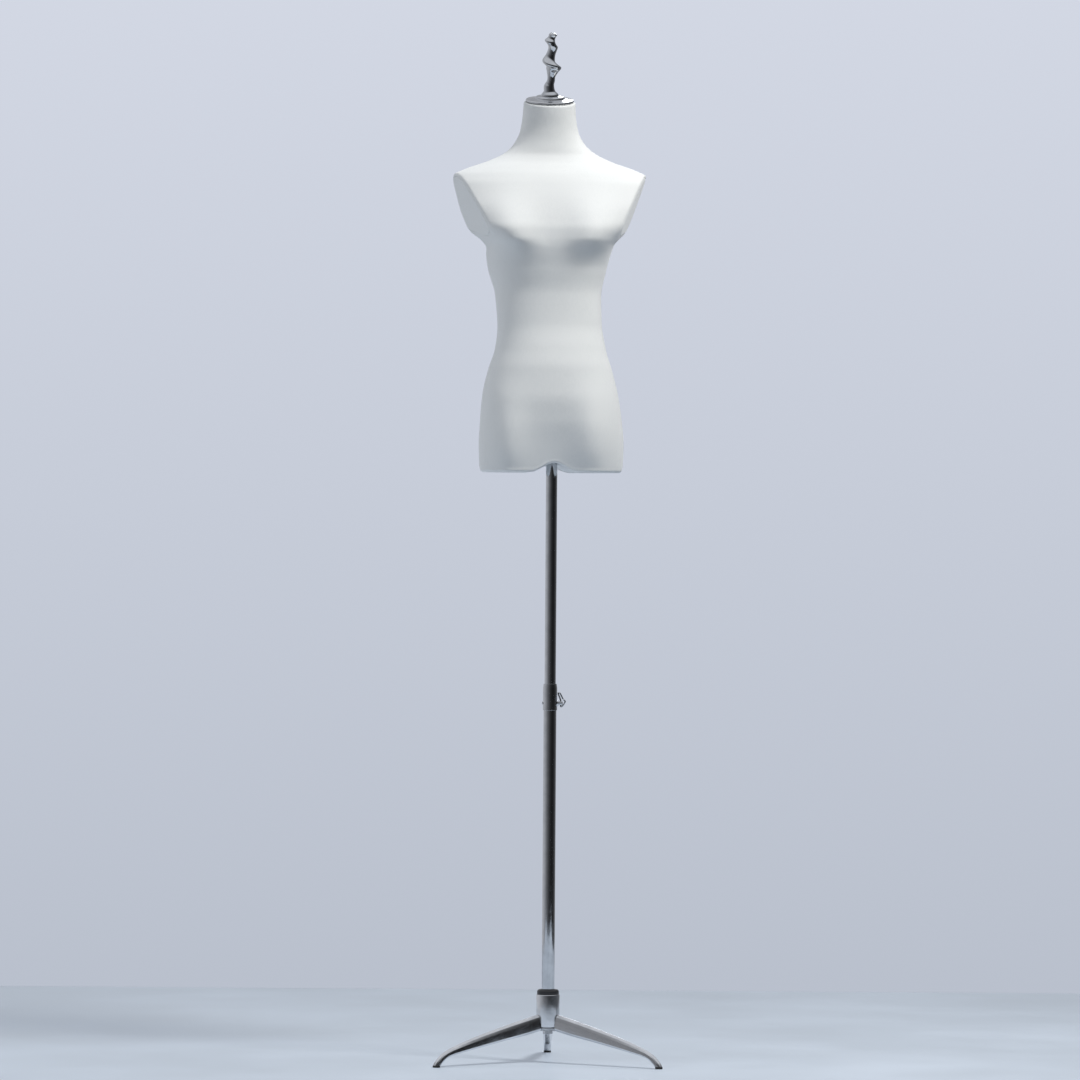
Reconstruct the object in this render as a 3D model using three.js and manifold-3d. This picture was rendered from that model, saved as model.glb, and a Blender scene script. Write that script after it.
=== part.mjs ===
// Dress form mannequin: an armless fabric-covered torso on a telescopic chrome pole, with a cast
// three-legged base, a screw clamp for the height and a twisted finial on the neck.
// Millimetres, +Z up. The origin is on the floor under the middle of the form's bounding box,
// -Y is the front, and +X is the form's left side.

import * as THREE from 'three';
import { mergeVertices } from 'three/addons/utils/BufferGeometryUtils.js';
import Module from 'manifold-3d';

const wasm = await Module();
wasm.setup();

// ---------------------------------------------------------------- driving dimensions

const GAP = 0.3;
const DEGREE = Math.PI / 180;
const ROUND = 20;

// The pole stands in front of the origin, because one leg points straight back.
const POLE_Y = -61;

const LEG_NAMES = ['front_left', 'front_right', 'rear'];
const LEG_HEADINGS = [-30, 210, 90];
const FOOT_RADIUS = 248;
const PAD_HEIGHT = 3.7;

const HUB_RADIUS = 22.75;
const HUB_BOTTOM = 70;
const HUB_FLOOR = 96;
const HUB_TOP = 133.7;
const TONGUE_TOP = 90.7;
const TONGUE_WIDTH = 12;
const TONGUE_INNER = 8.3;
const LEG_SCREW_RADIUS = 15;
const LEG_THREAD_RADIUS = 2.5;
const LEG_SCREW_SHANK = 2.2;
const LEG_SCREW_DEPTH = 11;
const PLATE_THICKNESS = 4;
const PLATE_RADIUS = 22;
const SCREW_CLEARANCE = 2.6;
const BOLT_RADIUS = 4.9;
const BOLT_CLEARANCE = 5.3;
const BOLT_HEAD_RADIUS = 9.5;
const BOLT_HEAD_HEIGHT = 6.4;
const BOLT_DEPTH = 22;
const WASHER_RADIUS = 8.8;
const WASHER_THICKNESS = 2.2;
const TRIM_RADIUS = 21.4;
const TRIM_TOP = 143.7;

const LOWER_POLE_RADIUS = 12.5;
const LOWER_POLE_BORE = 11.3;
const LOWER_POLE_TOP = 722;
const UPPER_POLE_RADIUS = 11;
const UPPER_POLE_BORE = 9.8;
const UPPER_POLE_BOTTOM = 560;
const UPPER_POLE_TOP = 1352;
const PLUG_LENGTH = 25;
const PLUG_STEM = 16;
const GUIDE_LENGTH = 8;
const POLE_CAP_HEIGHT = 5;

const COLLAR_RADIUS = 13.9;
const COLLAR_BOTTOM = 688;
const COLLAR_TOP = 739.5;
const COLLAR_TAPER = 8;
const COLLAR_LIP = 3.5;
const CLAMP_Z = 702;
const CLAMP_HOLE = 2.9;
const RIVET_HOLE = 2.3;
const RIVET_RADIUS = 2;
const BOSS_RADIUS = 6;
const BOSS_END = 16.5;
const PAD_END = 13.7;
const SCREW_RADIUS = 2.6;
const SCREW_START = 14;
const SCREW_HEAD_START = 17;
const SCREW_HEAD_RADIUS = 4;
const SCREW_HEAD_END = 24.6;
const LOOP_X = 20.8;
const LOOP_WIRE = 1.5;

const TORSO_BASE = 1152;
const TORSO_YAW = 6;
const COVER_THICKNESS = 1.5;
const SHELL_WALL = 4.5;
const PLATE = 5;

const ARCH_HALF_WIDTH = 46;
const ARCH_HEIGHT = 18.5;
const ARCH_FALL = 0.04;
const POLE_HOLE = 14;
const BOARD_BOTTOM = 31;
const BOARD_THICKNESS = 12;
const FLANGE_RADIUS = 42;
const FLANGE_THICKNESS = 3;
const FLANGE_SCREW_CIRCLE = 32;
const FLANGE_SCREW_HEADINGS = [45, 135, 225, 315];
const FLANGE_SCREW_RADIUS = 2;
const SOCKET_BORE = 11.6;
const SOCKET_RADIUS = 13.4;

// Each armhole is cut by a flat plane that faces outwards, a little forwards and a little down.
const ARMHOLE_CENTRE = new THREE.Vector3(158, 10, 505);
const ARMHOLE_SIDE = -5;
const ARMHOLE_FORWARD = 10;
const ARMHOLE_DOWN = 21;
const ARMHOLE_REACH = 80;

const NECK_TOP = new THREE.Vector3(-10, -12, 722);
const NECK_TILT = 13;
const CAP_RADIUS = 47;
const CAP_HEIGHT = 12.6;
const STUD_RADIUS = 4;
const STUD_HOLE_DEPTH = 14;
const STUD_BELOW_NUT = 2.5;
const NUT_RADIUS = 7.5;
const NUT_HEIGHT = 6.5;
const NUT_WASHER_RADIUS = 12;
const NUT_WASHER_THICKNESS = 1.6;
const FINIAL_HEIGHT = 123;
const BLOCK_THICKNESS = 30;

// Horizontal sections of the torso, from the cut thighs to the neck. z is the height over the cut
// thighs, half is half the width, front and back are the depths before and behind the pole axis,
// side is how far the section sits towards the form's left, mid is how far behind the axis it is
// widest, and square is the superellipse exponent.
const SECTIONS = [
  { z: 0, half: 134, front: 47, back: 95, side: 0, mid: 12, square: 2.3 },
  { z: 10, half: 140, front: 50, back: 99, side: 0, mid: 12, square: 2.3 },
  { z: 55, half: 141.5, front: 64, back: 108, side: 0, mid: 12, square: 2.3 },
  { z: 105, half: 138, front: 79, back: 109, side: -1, mid: 12, square: 2.3 },
  { z: 154, half: 132, front: 87, back: 100, side: -3, mid: 10, square: 2.25 },
  { z: 200, half: 121, front: 86.5, back: 83, side: -4, mid: 6, square: 2.2 },
  { z: 240, half: 108.5, front: 81, back: 68, side: -4, mid: 2, square: 2.2 },
  { z: 290, half: 102, front: 74, back: 63, side: -6, mid: 2, square: 2.2 },
  { z: 345, half: 103.5, front: 76, back: 74, side: -8, mid: 14, square: 2.25 },
  { z: 395, half: 115, front: 88, back: 88, side: -9, mid: 28, square: 2.4 },
  { z: 426, half: 120.5, front: 97, back: 95, side: -7, mid: 32, square: 2.8 },
  { z: 440, half: 122, front: 99, back: 97, side: -5, mid: 32, square: 3.1 },
  { z: 453, half: 131, front: 99, back: 99, side: -5, mid: 30, square: 3.4 },
  { z: 470, half: 155, front: 99, back: 101, side: -5, mid: 24, square: 3.3 },
  { z: 490, half: 180, front: 96, back: 101, side: -4, mid: 18, square: 2.9 },
  { z: 525, half: 206, front: 88, back: 99, side: -4, mid: 16, square: 2.35 },
  { z: 560, half: 206, front: 76, back: 92, side: -4, mid: 17, square: 2.1 },
  { z: 577, half: 195, front: 68, back: 87, side: -4, mid: 18, square: 2 },
  { z: 592, half: 165, front: 58, back: 81, side: -4, mid: 18, square: 2 },
  { z: 607, half: 122, front: 48, back: 74, side: -5, mid: 17, square: 2 },
  { z: 622, half: 90, front: 43, back: 66, side: -6, mid: 13, square: 2 },
  { z: 640, half: 70, front: 43, back: 59, side: -8, mid: 9, square: 2 },
  { z: 665, half: 57, front: 46, back: 53, side: -9, mid: 4, square: 2 },
  { z: 700, half: 51.5, front: 56, back: 45, side: -10, mid: -5, square: 2 },
  { z: 745, half: 49.5, front: 68, back: 36, side: -10, mid: -16, square: 2 },
];
const TORSO_ROUND = 22;
const RING_STEP = 60;

// Swellings of the surface. Their middles keep apart by CLEFT.
const CLEFT = 14;
const BUST = { side: -11, x: 86, z: 454, height: 25, width: 50, above: 66, below: 26 };
const THIGH = { side: -11, x: 90, z: 45, height: 26, width: 44, above: 90, below: 75 };
const BUTTOCK = { side: 0, x: 62, z: 72, height: 15, width: 50, above: 62, below: 62 };

// Stations along a leg: distance from the pole, height of the centre line, slope of the section,
// depth and width.
const LEG_STATIONS = [
  { out: 14, z: 81, slope: 14, depth: 32, width: 21 },
  { out: 60, z: 69.8, slope: 14, depth: 30.5, width: 21 },
  { out: 110, z: 58, slope: 15, depth: 26.5, width: 20 },
  { out: 160, z: 45.3, slope: 16, depth: 22, width: 18.5 },
  { out: 200, z: 34, slope: 17, depth: 16.5, width: 17 },
  { out: 220, z: 27.4, slope: 22, depth: 13.5, width: 16 },
  { out: 232, z: 21, slope: 38, depth: 12.5, width: 15.5 },
  { out: 241, z: 13, slope: 55, depth: 12.5, width: 15 },
  { out: 246, z: 7.5, slope: 75, depth: 13.5, width: 15 },
  { out: FOOT_RADIUS, z: PAD_HEIGHT + GAP, slope: 90, depth: 14, width: 15 },
];

// ---------------------------------------------------------------- materials

function finish(color, roughness, metalness) {
  return new THREE.MeshStandardMaterial({ color, roughness, metalness });
}

const CHROME = finish(0xc9ccd0, 0.12, 1);
const STEEL = finish(0x9a9da1, 0.35, 1);
const BRASS = finish(0xb3924a, 0.35, 1);
const BLACK_PLASTIC = finish(0x17181a, 0.4, 0);
const NYLON = finish(0xe6e6e0, 0.5, 0);
const RUBBER = finish(0x1c1c1c, 0.85, 0);
const SHELL_PLASTIC = finish(0xd8d4c8, 0.6, 0);
const WOOD = finish(0xb88f5e, 0.7, 0);
const FABRIC = finish(0xe6e8e6, 0.95, 0);

// ---------------------------------------------------------------- shape helpers

function part(group, name, geometry, material) {
  const mesh = new THREE.Mesh(geometry, material);
  mesh.name = name;
  group.add(mesh);
}

// A closed skin over rings of equal length. Rings run counter-clockwise seen from the last ring.
function skin(rings) {
  const count = rings[0].length;
  const points = rings.flat();
  const faces = [];
  for (let ring = 0; ring < rings.length - 1; ring += 1) {
    for (let i = 0; i < count; i += 1) {
      const near = ring * count + i;
      const next = ring * count + ((i + 1) % count);
      faces.push(near, next, next + count, near, next + count, near + count);
    }
  }
  const last = (rings.length - 1) * count;
  const bottom = points.push(middle(rings[0])) - 1;
  const top = points.push(middle(rings[rings.length - 1])) - 1;
  for (let i = 0; i < count; i += 1) {
    const next = (i + 1) % count;
    faces.push(bottom, next, i, top, last + i, last + next);
  }
  const geometry = new THREE.BufferGeometry().setFromPoints(points);
  geometry.setIndex(faces);
  return geometry;
}

function middle(ring) {
  const sum = new THREE.Vector3();
  ring.forEach((point) => sum.add(point));
  return sum.divideScalar(ring.length);
}

// A body turned about the Z axis from [radius, height] points, listed upwards along the outside.
function turned(profile, segments = ROUND) {
  const points = profile.map(([radius, height]) => new THREE.Vector2(radius, height));
  const geometry = new THREE.LatheGeometry(points, segments);
  return geometry.rotateX(Math.PI / 2);
}

// A straight tube or a washer, standing on the Z axis.
function tube(outer, inner, bottom, top, segments = ROUND) {
  const profile = [[inner, bottom], [outer, bottom], [outer, top], [inner, top], [inner, bottom]];
  return turned(profile, segments);
}

function rod(radius, bottom, top, segments = ROUND) {
  return turned([[0, bottom], [radius, bottom], [radius, top], [0, top]], segments);
}

// Turns a body that stands on the Z axis so that it lies along +X at the height z.
function alongX(geometry, z) {
  return geometry.rotateY(Math.PI / 2).translate(0, 0, z);
}

function box(width, depth, height, x, y, z) {
  return new THREE.BoxGeometry(width, depth, height).translate(x, y, z);
}

function toSolid(geometry) {
  const bare = geometry.clone();
  bare.deleteAttribute('normal');
  bare.deleteAttribute('uv');
  const merged = mergeVertices(bare, 1e-4);
  const vertProperties = new Float32Array(merged.attributes.position.array);
  const triVerts = new Uint32Array(merged.index.array);
  return new wasm.Manifold(new wasm.Mesh({ numProp: 3, vertProperties, triVerts }));
}

function toGeometry(solid) {
  const mesh = solid.getMesh();
  const geometry = new THREE.BufferGeometry();
  geometry.setAttribute('position', new THREE.BufferAttribute(mesh.vertProperties, 3));
  geometry.setIndex(new THREE.BufferAttribute(mesh.triVerts, 1));
  return geometry;
}

function cut(geometry, ...tools) {
  return toGeometry(tools.reduce((solid, tool) => solid.subtract(toSolid(tool)), toSolid(geometry)));
}

function join(first, ...others) {
  return toGeometry(others.reduce((solid, other) => solid.add(toSolid(other)), toSolid(first)));
}

function common(first, second) {
  return toGeometry(toSolid(first).intersect(toSolid(second)));
}

// ---------------------------------------------------------------- three-legged base

function legSection(station) {
  const { out, z, slope, depth, width } = station;
  const outline = [[0, 0.5], [0.3, 0.36], [0.42, 0.12], [0.5, -0.36], [0.3, -0.5]];
  const left = outline.slice(1).reverse().map(([across, up]) => [-across, up]);
  const lean = slope * DEGREE;
  return [...outline, ...left].map(([across, up]) => new THREE.Vector3(
    out + up * depth * Math.sin(lean),
    -across * width,
    z + up * depth * Math.cos(lean),
  ));
}

function legBody() {
  const bar = skin(LEG_STATIONS.map(legSection));
  const seat = rod(HUB_RADIUS + GAP, 0, HUB_TOP, 2 * ROUND);
  const tongueEnd = HUB_RADIUS + 4;
  const length = tongueEnd - TONGUE_INNER;
  const height = TONGUE_TOP - HUB_BOTTOM;
  const x = (tongueEnd + TONGUE_INNER) / 2;
  const tongue = box(length, TONGUE_WIDTH, height, x, 0, (TONGUE_TOP + HUB_BOTTOM) / 2);
  const thread = rod(LEG_THREAD_RADIUS, HUB_BOTTOM - 1, HUB_BOTTOM + LEG_SCREW_DEPTH + 1, 12)
    .translate(LEG_SCREW_RADIUS, 0, 0);
  return cut(join(cut(bar, seat), tongue), thread);
}

function footPad() {
  const profile = [[0, 0], [6.4, 0], [7.2, 0.8], [7.2, PAD_HEIGHT - 0.7], [6.5, PAD_HEIGHT],
    [0, PAD_HEIGHT]];
  return turned(profile, 16).translate(FOOT_RADIUS, 0, 0);
}

function legScrew() {
  const head = HUB_BOTTOM - GAP - PLATE_THICKNESS - GAP;
  const profile = [[0, head - 2.8], [3.6, head - 2.8], [4.5, head - 1.6], [4.5, head],
    [LEG_SCREW_SHANK, head], [LEG_SCREW_SHANK, HUB_BOTTOM + LEG_SCREW_DEPTH],
    [0, HUB_BOTTOM + LEG_SCREW_DEPTH]];
  return turned(profile, 12).translate(LEG_SCREW_RADIUS, 0, 0);
}

function legSlot(heading) {
  const reach = 30;
  const height = TONGUE_TOP + GAP - HUB_BOTTOM + 5;
  const inner = TONGUE_INNER - GAP;
  const slot = box(reach, TONGUE_WIDTH + 2 * GAP, height, inner + reach / 2, 0,
    TONGUE_TOP + GAP - height / 2);
  return slot.rotateZ(heading * DEGREE);
}

function hubBody() {
  const socket = LOWER_POLE_RADIUS + GAP;
  const profile = [[BOLT_CLEARANCE, HUB_BOTTOM], [HUB_RADIUS - 2.25, HUB_BOTTOM],
    [HUB_RADIUS, HUB_BOTTOM + 2.5], [HUB_RADIUS, HUB_TOP - 2], [HUB_RADIUS - 1.5, HUB_TOP],
    [socket, HUB_TOP], [socket, HUB_FLOOR], [BOLT_CLEARANCE, HUB_FLOOR],
    [BOLT_CLEARANCE, HUB_BOTTOM]];
  return cut(turned(profile, 2 * ROUND), ...LEG_HEADINGS.map(legSlot));
}

function trimRing() {
  const bottom = HUB_TOP + GAP;
  const inner = LOWER_POLE_RADIUS + GAP;
  return turned([[inner, bottom], [TRIM_RADIUS, bottom], [TRIM_RADIUS, TRIM_TOP - 3.5],
    [TRIM_RADIUS - 2.2, TRIM_TOP - 0.8], [TRIM_RADIUS - 4.9, TRIM_TOP], [inner, TRIM_TOP],
    [inner, bottom]]);
}

function basePlate() {
  const top = HUB_BOTTOM - GAP;
  const plate = tube(PLATE_RADIUS, BOLT_CLEARANCE, top - PLATE_THICKNESS, top);
  const holes = LEG_HEADINGS.map((heading) => rod(SCREW_CLEARANCE, top - 10, top + 5, 12)
    .translate(LEG_SCREW_RADIUS, 0, 0)
    .rotateZ(heading * DEGREE));
  return cut(plate, ...holes);
}

function springWasher() {
  const top = HUB_BOTTOM - 2 * GAP - PLATE_THICKNESS;
  return tube(WASHER_RADIUS, BOLT_CLEARANCE, top - WASHER_THICKNESS, top);
}

function baseBolt() {
  const seat = HUB_BOTTOM - 3 * GAP - PLATE_THICKNESS - WASHER_THICKNESS;
  const head = rod(BOLT_HEAD_RADIUS, seat - BOLT_HEAD_HEIGHT, seat, 6);
  return join(head, rod(BOLT_RADIUS, seat - 1, HUB_FLOOR + BOLT_DEPTH, 16));
}

function buildBase(stand) {
  LEG_NAMES.forEach((name, index) => {
    const turn = LEG_HEADINGS[index] * DEGREE;
    part(stand, `leg_${name}`, legBody().rotateZ(turn), CHROME);
    part(stand, `foot_pad_${name}`, footPad().rotateZ(turn), RUBBER);
    part(stand, `leg_screw_${name}`, legScrew().rotateZ(turn), STEEL);
  });
  part(stand, 'hub', hubBody(), CHROME);
  part(stand, 'hub_trim_ring', trimRing(), BLACK_PLASTIC);
  part(stand, 'base_plate', basePlate(), STEEL);
  part(stand, 'base_spring_washer', springWasher(), STEEL);
  part(stand, 'base_bolt', baseBolt(), STEEL);
}

// ---------------------------------------------------------------- pole and height clamp

function lowerPole() {
  const wall = tube(LOWER_POLE_RADIUS, LOWER_POLE_BORE, HUB_FLOOR + GAP, LOWER_POLE_TOP);
  return cut(wall, padHole(), rivetHole());
}

// The pressure pad's hole goes through the collar's boss and the lower pole's wall.
function padHole() {
  return alongX(rod(CLAMP_HOLE, LOWER_POLE_BORE - 5, BOSS_END + 3, 16), CLAMP_Z);
}

function rivetHole() {
  return alongX(rod(RIVET_HOLE, -COLLAR_RADIUS - 5, 5 - LOWER_POLE_BORE, 12), CLAMP_Z);
}

function clampCollar() {
  const inner = LOWER_POLE_RADIUS + GAP;
  const lip = LOWER_POLE_BORE + GAP;
  const wall = turned([[inner, COLLAR_BOTTOM], [COLLAR_RADIUS - 0.6, COLLAR_BOTTOM],
    [COLLAR_RADIUS, COLLAR_BOTTOM + 1], [COLLAR_RADIUS, COLLAR_TOP - COLLAR_TAPER],
    [lip + 1.2, COLLAR_TOP], [lip, COLLAR_TOP], [lip, COLLAR_TOP - COLLAR_LIP],
    [inner, COLLAR_TOP - COLLAR_LIP], [inner, COLLAR_BOTTOM]]);
  const boss = alongX(rod(BOSS_RADIUS, inner + 0.5, BOSS_END), CLAMP_Z);
  return cut(join(wall, boss), padHole(), rivetHole());
}

function collarRivet() {
  const head = -COLLAR_RADIUS - GAP;
  const profile = [[0, head - 1.4], [2.2, head - 1.2], [3.4, head], [RIVET_RADIUS, head],
    [RIVET_RADIUS, -LOWER_POLE_BORE - GAP], [0, -LOWER_POLE_BORE - GAP]];
  return alongX(turned(profile, 12), CLAMP_Z);
}

// The nylon guide that centres the upper pole over the end of the lower one.
function collarBushing() {
  const top = COLLAR_TOP - COLLAR_LIP - GAP;
  return tube(LOWER_POLE_RADIUS, LOWER_POLE_BORE, LOWER_POLE_TOP + GAP, top);
}

function pressurePad() {
  return alongX(rod(SCREW_RADIUS, UPPER_POLE_RADIUS + GAP, PAD_END, 16), CLAMP_Z);
}

function clampScrew() {
  const head = SCREW_HEAD_START;
  const radius = SCREW_HEAD_RADIUS;
  const body = turned([[0, SCREW_START], [SCREW_RADIUS, SCREW_START], [SCREW_RADIUS, head],
    [radius - 0.8, head], [radius, head + 1], [radius, SCREW_HEAD_END - 1.5],
    [radius - 1.6, SCREW_HEAD_END], [0, SCREW_HEAD_END]], 16);
  const eye = rod(LOOP_WIRE + 0.6, CLAMP_Z - 8, CLAMP_Z + 8, 16).translate(LOOP_X, 0, 0);
  return cut(alongX(body, CLAMP_Z), eye);
}

// A bent wire triangle through the eye of the screw. Its ends butt on the long outer side.
function wireLoop() {
  const corners = [[26, 708.8], [29.2, 705.8], [28.8, 703.2], [23.6, 695.6], [21.4, 695],
    [LOOP_X, 697], [LOOP_X, 706.5], [LOOP_X - 0.9, 709.5], [16.1, 720.2], [16.5, 722.2],
    [18.5, 721.8], [25.2, 709.8]];
  const points = corners.map(([x, z]) => new THREE.Vector3(x, 0, z));
  const round = new THREE.Shape().absarc(0, 0, LOOP_WIRE, 0, 2 * Math.PI);
  const smooth = new THREE.CatmullRomCurve3(points, false, 'centripetal');
  return new THREE.ExtrudeGeometry(round, { steps: 34, curveSegments: 4, extrudePath: smooth });
}

// The nylon slide on the foot of the upper pole, with its stem in the bore.
function poleGuide() {
  const top = UPPER_POLE_BOTTOM - GAP;
  const stem = rod(UPPER_POLE_BORE - GAP, top - 1, top + PLUG_STEM);
  return join(rod(UPPER_POLE_RADIUS, top - GUIDE_LENGTH, top), stem);
}

// The nylon plug on top of the upper pole, which the torso's socket turns on.
function poleCap() {
  const bottom = UPPER_POLE_TOP + GAP;
  const stem = rod(UPPER_POLE_BORE - GAP, bottom - PLUG_STEM, bottom + 1);
  return join(rod(UPPER_POLE_RADIUS, bottom, bottom + POLE_CAP_HEIGHT), stem);
}

function buildPole(stand) {
  const plugBottom = HUB_FLOOR + GAP;
  const plugTop = plugBottom + PLUG_LENGTH;
  const plug = tube(LOWER_POLE_BORE - GAP, BOLT_CLEARANCE, plugBottom, plugTop);
  const upper = tube(UPPER_POLE_RADIUS, UPPER_POLE_BORE, UPPER_POLE_BOTTOM, UPPER_POLE_TOP);
  part(stand, 'lower_pole', lowerPole(), CHROME);
  part(stand, 'lower_pole_plug', plug, STEEL);
  part(stand, 'clamp_collar', clampCollar(), CHROME);
  part(stand, 'collar_rivet', collarRivet(), STEEL);
  part(stand, 'collar_bushing', collarBushing(), NYLON);
  part(stand, 'pressure_pad', pressurePad(), BRASS);
  part(stand, 'clamp_screw', clampScrew(), CHROME);
  part(stand, 'wire_loop', wireLoop(), CHROME);
  part(stand, 'upper_pole', upper, CHROME);
  part(stand, 'upper_pole_guide', poleGuide(), NYLON);
  part(stand, 'upper_pole_cap', poleCap(), NYLON);
}

// ---------------------------------------------------------------- torso surface

function sectionAt(z) {
  const passed = SECTIONS.filter((row) => row.z <= z).length;
  const index = Math.min(SECTIONS.length - 2, passed - 1);
  const [a, b] = [SECTIONS[index], SECTIONS[index + 1]];
  const before = SECTIONS[Math.max(0, index - 1)];
  const after = SECTIONS[Math.min(SECTIONS.length - 1, index + 2)];
  const t = (z - a.z) / (b.z - a.z);
  const blended = {};
  ['half', 'front', 'back', 'side', 'mid', 'square'].forEach((key) => {
    blended[key] = cubic(before, a, b, after, key, t);
  });
  return blended;
}

// A cubic through a and b, whose end slopes come from the neighbours and never overshoot.
function cubic(before, a, b, after, key, t) {
  const span = b.z - a.z;
  const rise = (b[key] - a[key]) / span;
  const startRise = a === before ? rise : (a[key] - before[key]) / (a.z - before.z);
  const endRise = b === after ? rise : (after[key] - b[key]) / (after.z - b.z);
  const start = limitedSlope(startRise, rise) * span;
  const end = limitedSlope(rise, endRise) * span;
  const t2 = t * t;
  const t3 = t2 * t;
  return (2 * t3 - 3 * t2 + 1) * a[key] + (t3 - 2 * t2 + t) * start
    + (3 * t2 - 2 * t3) * b[key] + (t3 - t2) * end;
}

function limitedSlope(one, other) {
  if (one * other <= 0) return 0;
  return (2 * one * other) / (one + other);
}

function bump(shape, x, z) {
  const across = (Math.hypot(x - shape.side, CLEFT) - shape.x) / shape.width;
  const up = (z - shape.z) / (z > shape.z ? shape.above : shape.below);
  return shape.height * Math.exp(-across * across - up * up);
}

function power(value, exponent) {
  return Math.sign(value) * Math.abs(value) ** exponent;
}

function torsoPoint(angle, z) {
  const { half, front, back, side, mid, square } = sectionAt(z);
  const across = power(Math.cos(angle), 2 / square);
  const along = power(Math.sin(angle), 2 / square);
  const x = half * across;
  if (along < 0) {
    const swell = bump(BUST, x, z) + bump(THIGH, x, z);
    return new THREE.Vector3(x + side, mid + (front + mid) * along - swell * Math.sqrt(-along), z);
  }
  const y = mid + (back - mid) * along;
  return new THREE.Vector3(x + side, y + bump(BUTTOCK, x, z) * Math.sqrt(along), z);
}

// The outward normal, from neighbouring points of the surface.
function torsoNormal(angle, z) {
  const [turn, rise] = [0.05, 3];
  const top = SECTIONS[SECTIONS.length - 1].z;
  const high = Math.min(top, z + rise);
  const low = Math.max(0, z - rise);
  const around = torsoPoint(angle + turn, z).sub(torsoPoint(angle - turn, z));
  const up = torsoPoint(angle, high).sub(torsoPoint(angle, low));
  return around.cross(up).normalize();
}

// The torso's whole outer shape, moved inwards by inset, without any of its flat cuts.
function torsoShape(inset) {
  const heights = [];
  for (let row = 0; row < SECTIONS.length - 1; row += 1) {
    const [low, high] = [SECTIONS[row].z, SECTIONS[row + 1].z];
    const steps = Math.ceil((high - low) / RING_STEP);
    for (let step = 0; step < steps; step += 1) heights.push(low + ((high - low) * step) / steps);
  }
  heights.push(SECTIONS[SECTIONS.length - 1].z);
  const rings = heights.map((z) => {
    const ring = [];
    for (let i = 0; i < TORSO_ROUND; i += 1) {
      const angle = ((i + 0.5) / TORSO_ROUND) * 2 * Math.PI;
      ring.push(torsoPoint(angle, z).addScaledVector(torsoNormal(angle, z), -inset));
    }
    return ring;
  });
  return skin(rings);
}

// A block whose flat face lies in the armhole's plane, moved outwards by offset.
function beyondArmhole(side, offset) {
  const size = 400;
  const block = box(size, size, ARMHOLE_REACH + size / 2, size / 2 + offset, 0,
    size / 4 - ARMHOLE_REACH / 2);
  block.rotateY(ARMHOLE_DOWN * DEGREE);
  block.rotateZ(-ARMHOLE_FORWARD * DEGREE);
  block.translate(ARMHOLE_CENTRE.x, ARMHOLE_CENTRE.y, ARMHOLE_CENTRE.z);
  if (side < 0) flipped(block.rotateZ(Math.PI).scale(1, -1, 1));
  return block.translate(ARMHOLE_SIDE, 0, 0);
}

// Mirroring turns a mesh inside out, so its triangles are reversed.
function flipped(geometry) {
  const index = geometry.index;
  for (let i = 0; i < index.count; i += 3) {
    const first = index.getX(i);
    index.setX(i, index.getX(i + 2));
    index.setX(i + 2, first);
  }
  return geometry;
}

function aboveNeck(offset) {
  const size = 300;
  const block = box(size, size, size, 0, 0, size / 2 + offset);
  return block.rotateX(NECK_TILT * DEGREE).translate(NECK_TOP.x, NECK_TOP.y, NECK_TOP.z);
}

function belowThighs(top) {
  return box(400, 400, 100, 0, 0, top - 50);
}

// The notch between the thighs, wider and higher by margin. It falls towards the back.
function crotchArch(margin) {
  const reach = 200;
  return skin([archOutline(reach, margin), archOutline(-reach, margin)]);
}

function archOutline(y, margin) {
  const steps = 16;
  const half = ARCH_HALF_WIDTH + margin;
  const sunk = margin - 0.2;
  const outline = [new THREE.Vector3(-half, y, -20), new THREE.Vector3(half, y, -20)];
  for (let i = 0; i <= steps; i += 1) {
    const share = 1 - (2 * i) / steps;
    const rise = (ARCH_HEIGHT - ARCH_FALL * y) * Math.cos((share * Math.PI) / 2) ** 2;
    outline.push(new THREE.Vector3(share * half, y, rise + sunk));
  }
  return outline;
}

function trimmedTorso(inset, { arms, neck, thighs, arch }) {
  const cuts = [beyondArmhole(1, arms), beyondArmhole(-1, arms), aboveNeck(neck)];
  return cut(torsoShape(inset), ...cuts, belowThighs(thighs), crotchArch(arch));
}

function fabricCover() {
  const outer = trimmedTorso(0, { arms: 0, neck: -GAP, thighs: PLATE + GAP, arch: 0 });
  const inner = trimmedTorso(COVER_THICKNESS, {
    arms: 5, neck: -GAP - COVER_THICKNESS, thighs: PLATE - 1, arch: COVER_THICKNESS,
  });
  const rimInner = torsoShape(COVER_THICKNESS + GAP + SHELL_WALL);
  const neckMouth = common(rimInner, aboveNeck(-GAP - COVER_THICKNESS - 1));
  return cut(outer, inner, neckMouth, poleHole());
}

function poleHole() {
  return rod(POLE_HOLE, -5, BOARD_BOTTOM + BOARD_THICKNESS + 5);
}

function torsoShell() {
  const outset = COVER_THICKNESS + GAP;
  const outer = trimmedTorso(outset, {
    arms: 0, neck: -GAP - outset, thighs: PLATE + GAP, arch: outset,
  });
  const inner = trimmedTorso(outset + SHELL_WALL, {
    arms: 5, neck: 5, thighs: PLATE - 1, arch: outset + SHELL_WALL,
  });
  return cut(outer, inner, poleHole());
}

function armholePlate(side) {
  const slab = cut(torsoShape(0), beyondArmhole(side, PLATE));
  return common(slab, beyondArmhole(side, GAP));
}

function thighPlate(side) {
  const slab = common(torsoShape(0), box(400, 400, PLATE, 0, 0, PLATE / 2));
  const half = box(400, 400, 50, -side * 200, 0, 0);
  return cut(slab, crotchArch(0), half);
}

function bottomBoard() {
  const clearance = COVER_THICKNESS + GAP + SHELL_WALL + 1;
  const slab = box(400, 400, BOARD_THICKNESS, 0, 0, BOARD_BOTTOM + BOARD_THICKNESS / 2);
  return cut(common(torsoShape(clearance), slab), poleHole(), ...flangeHoles());
}

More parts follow.
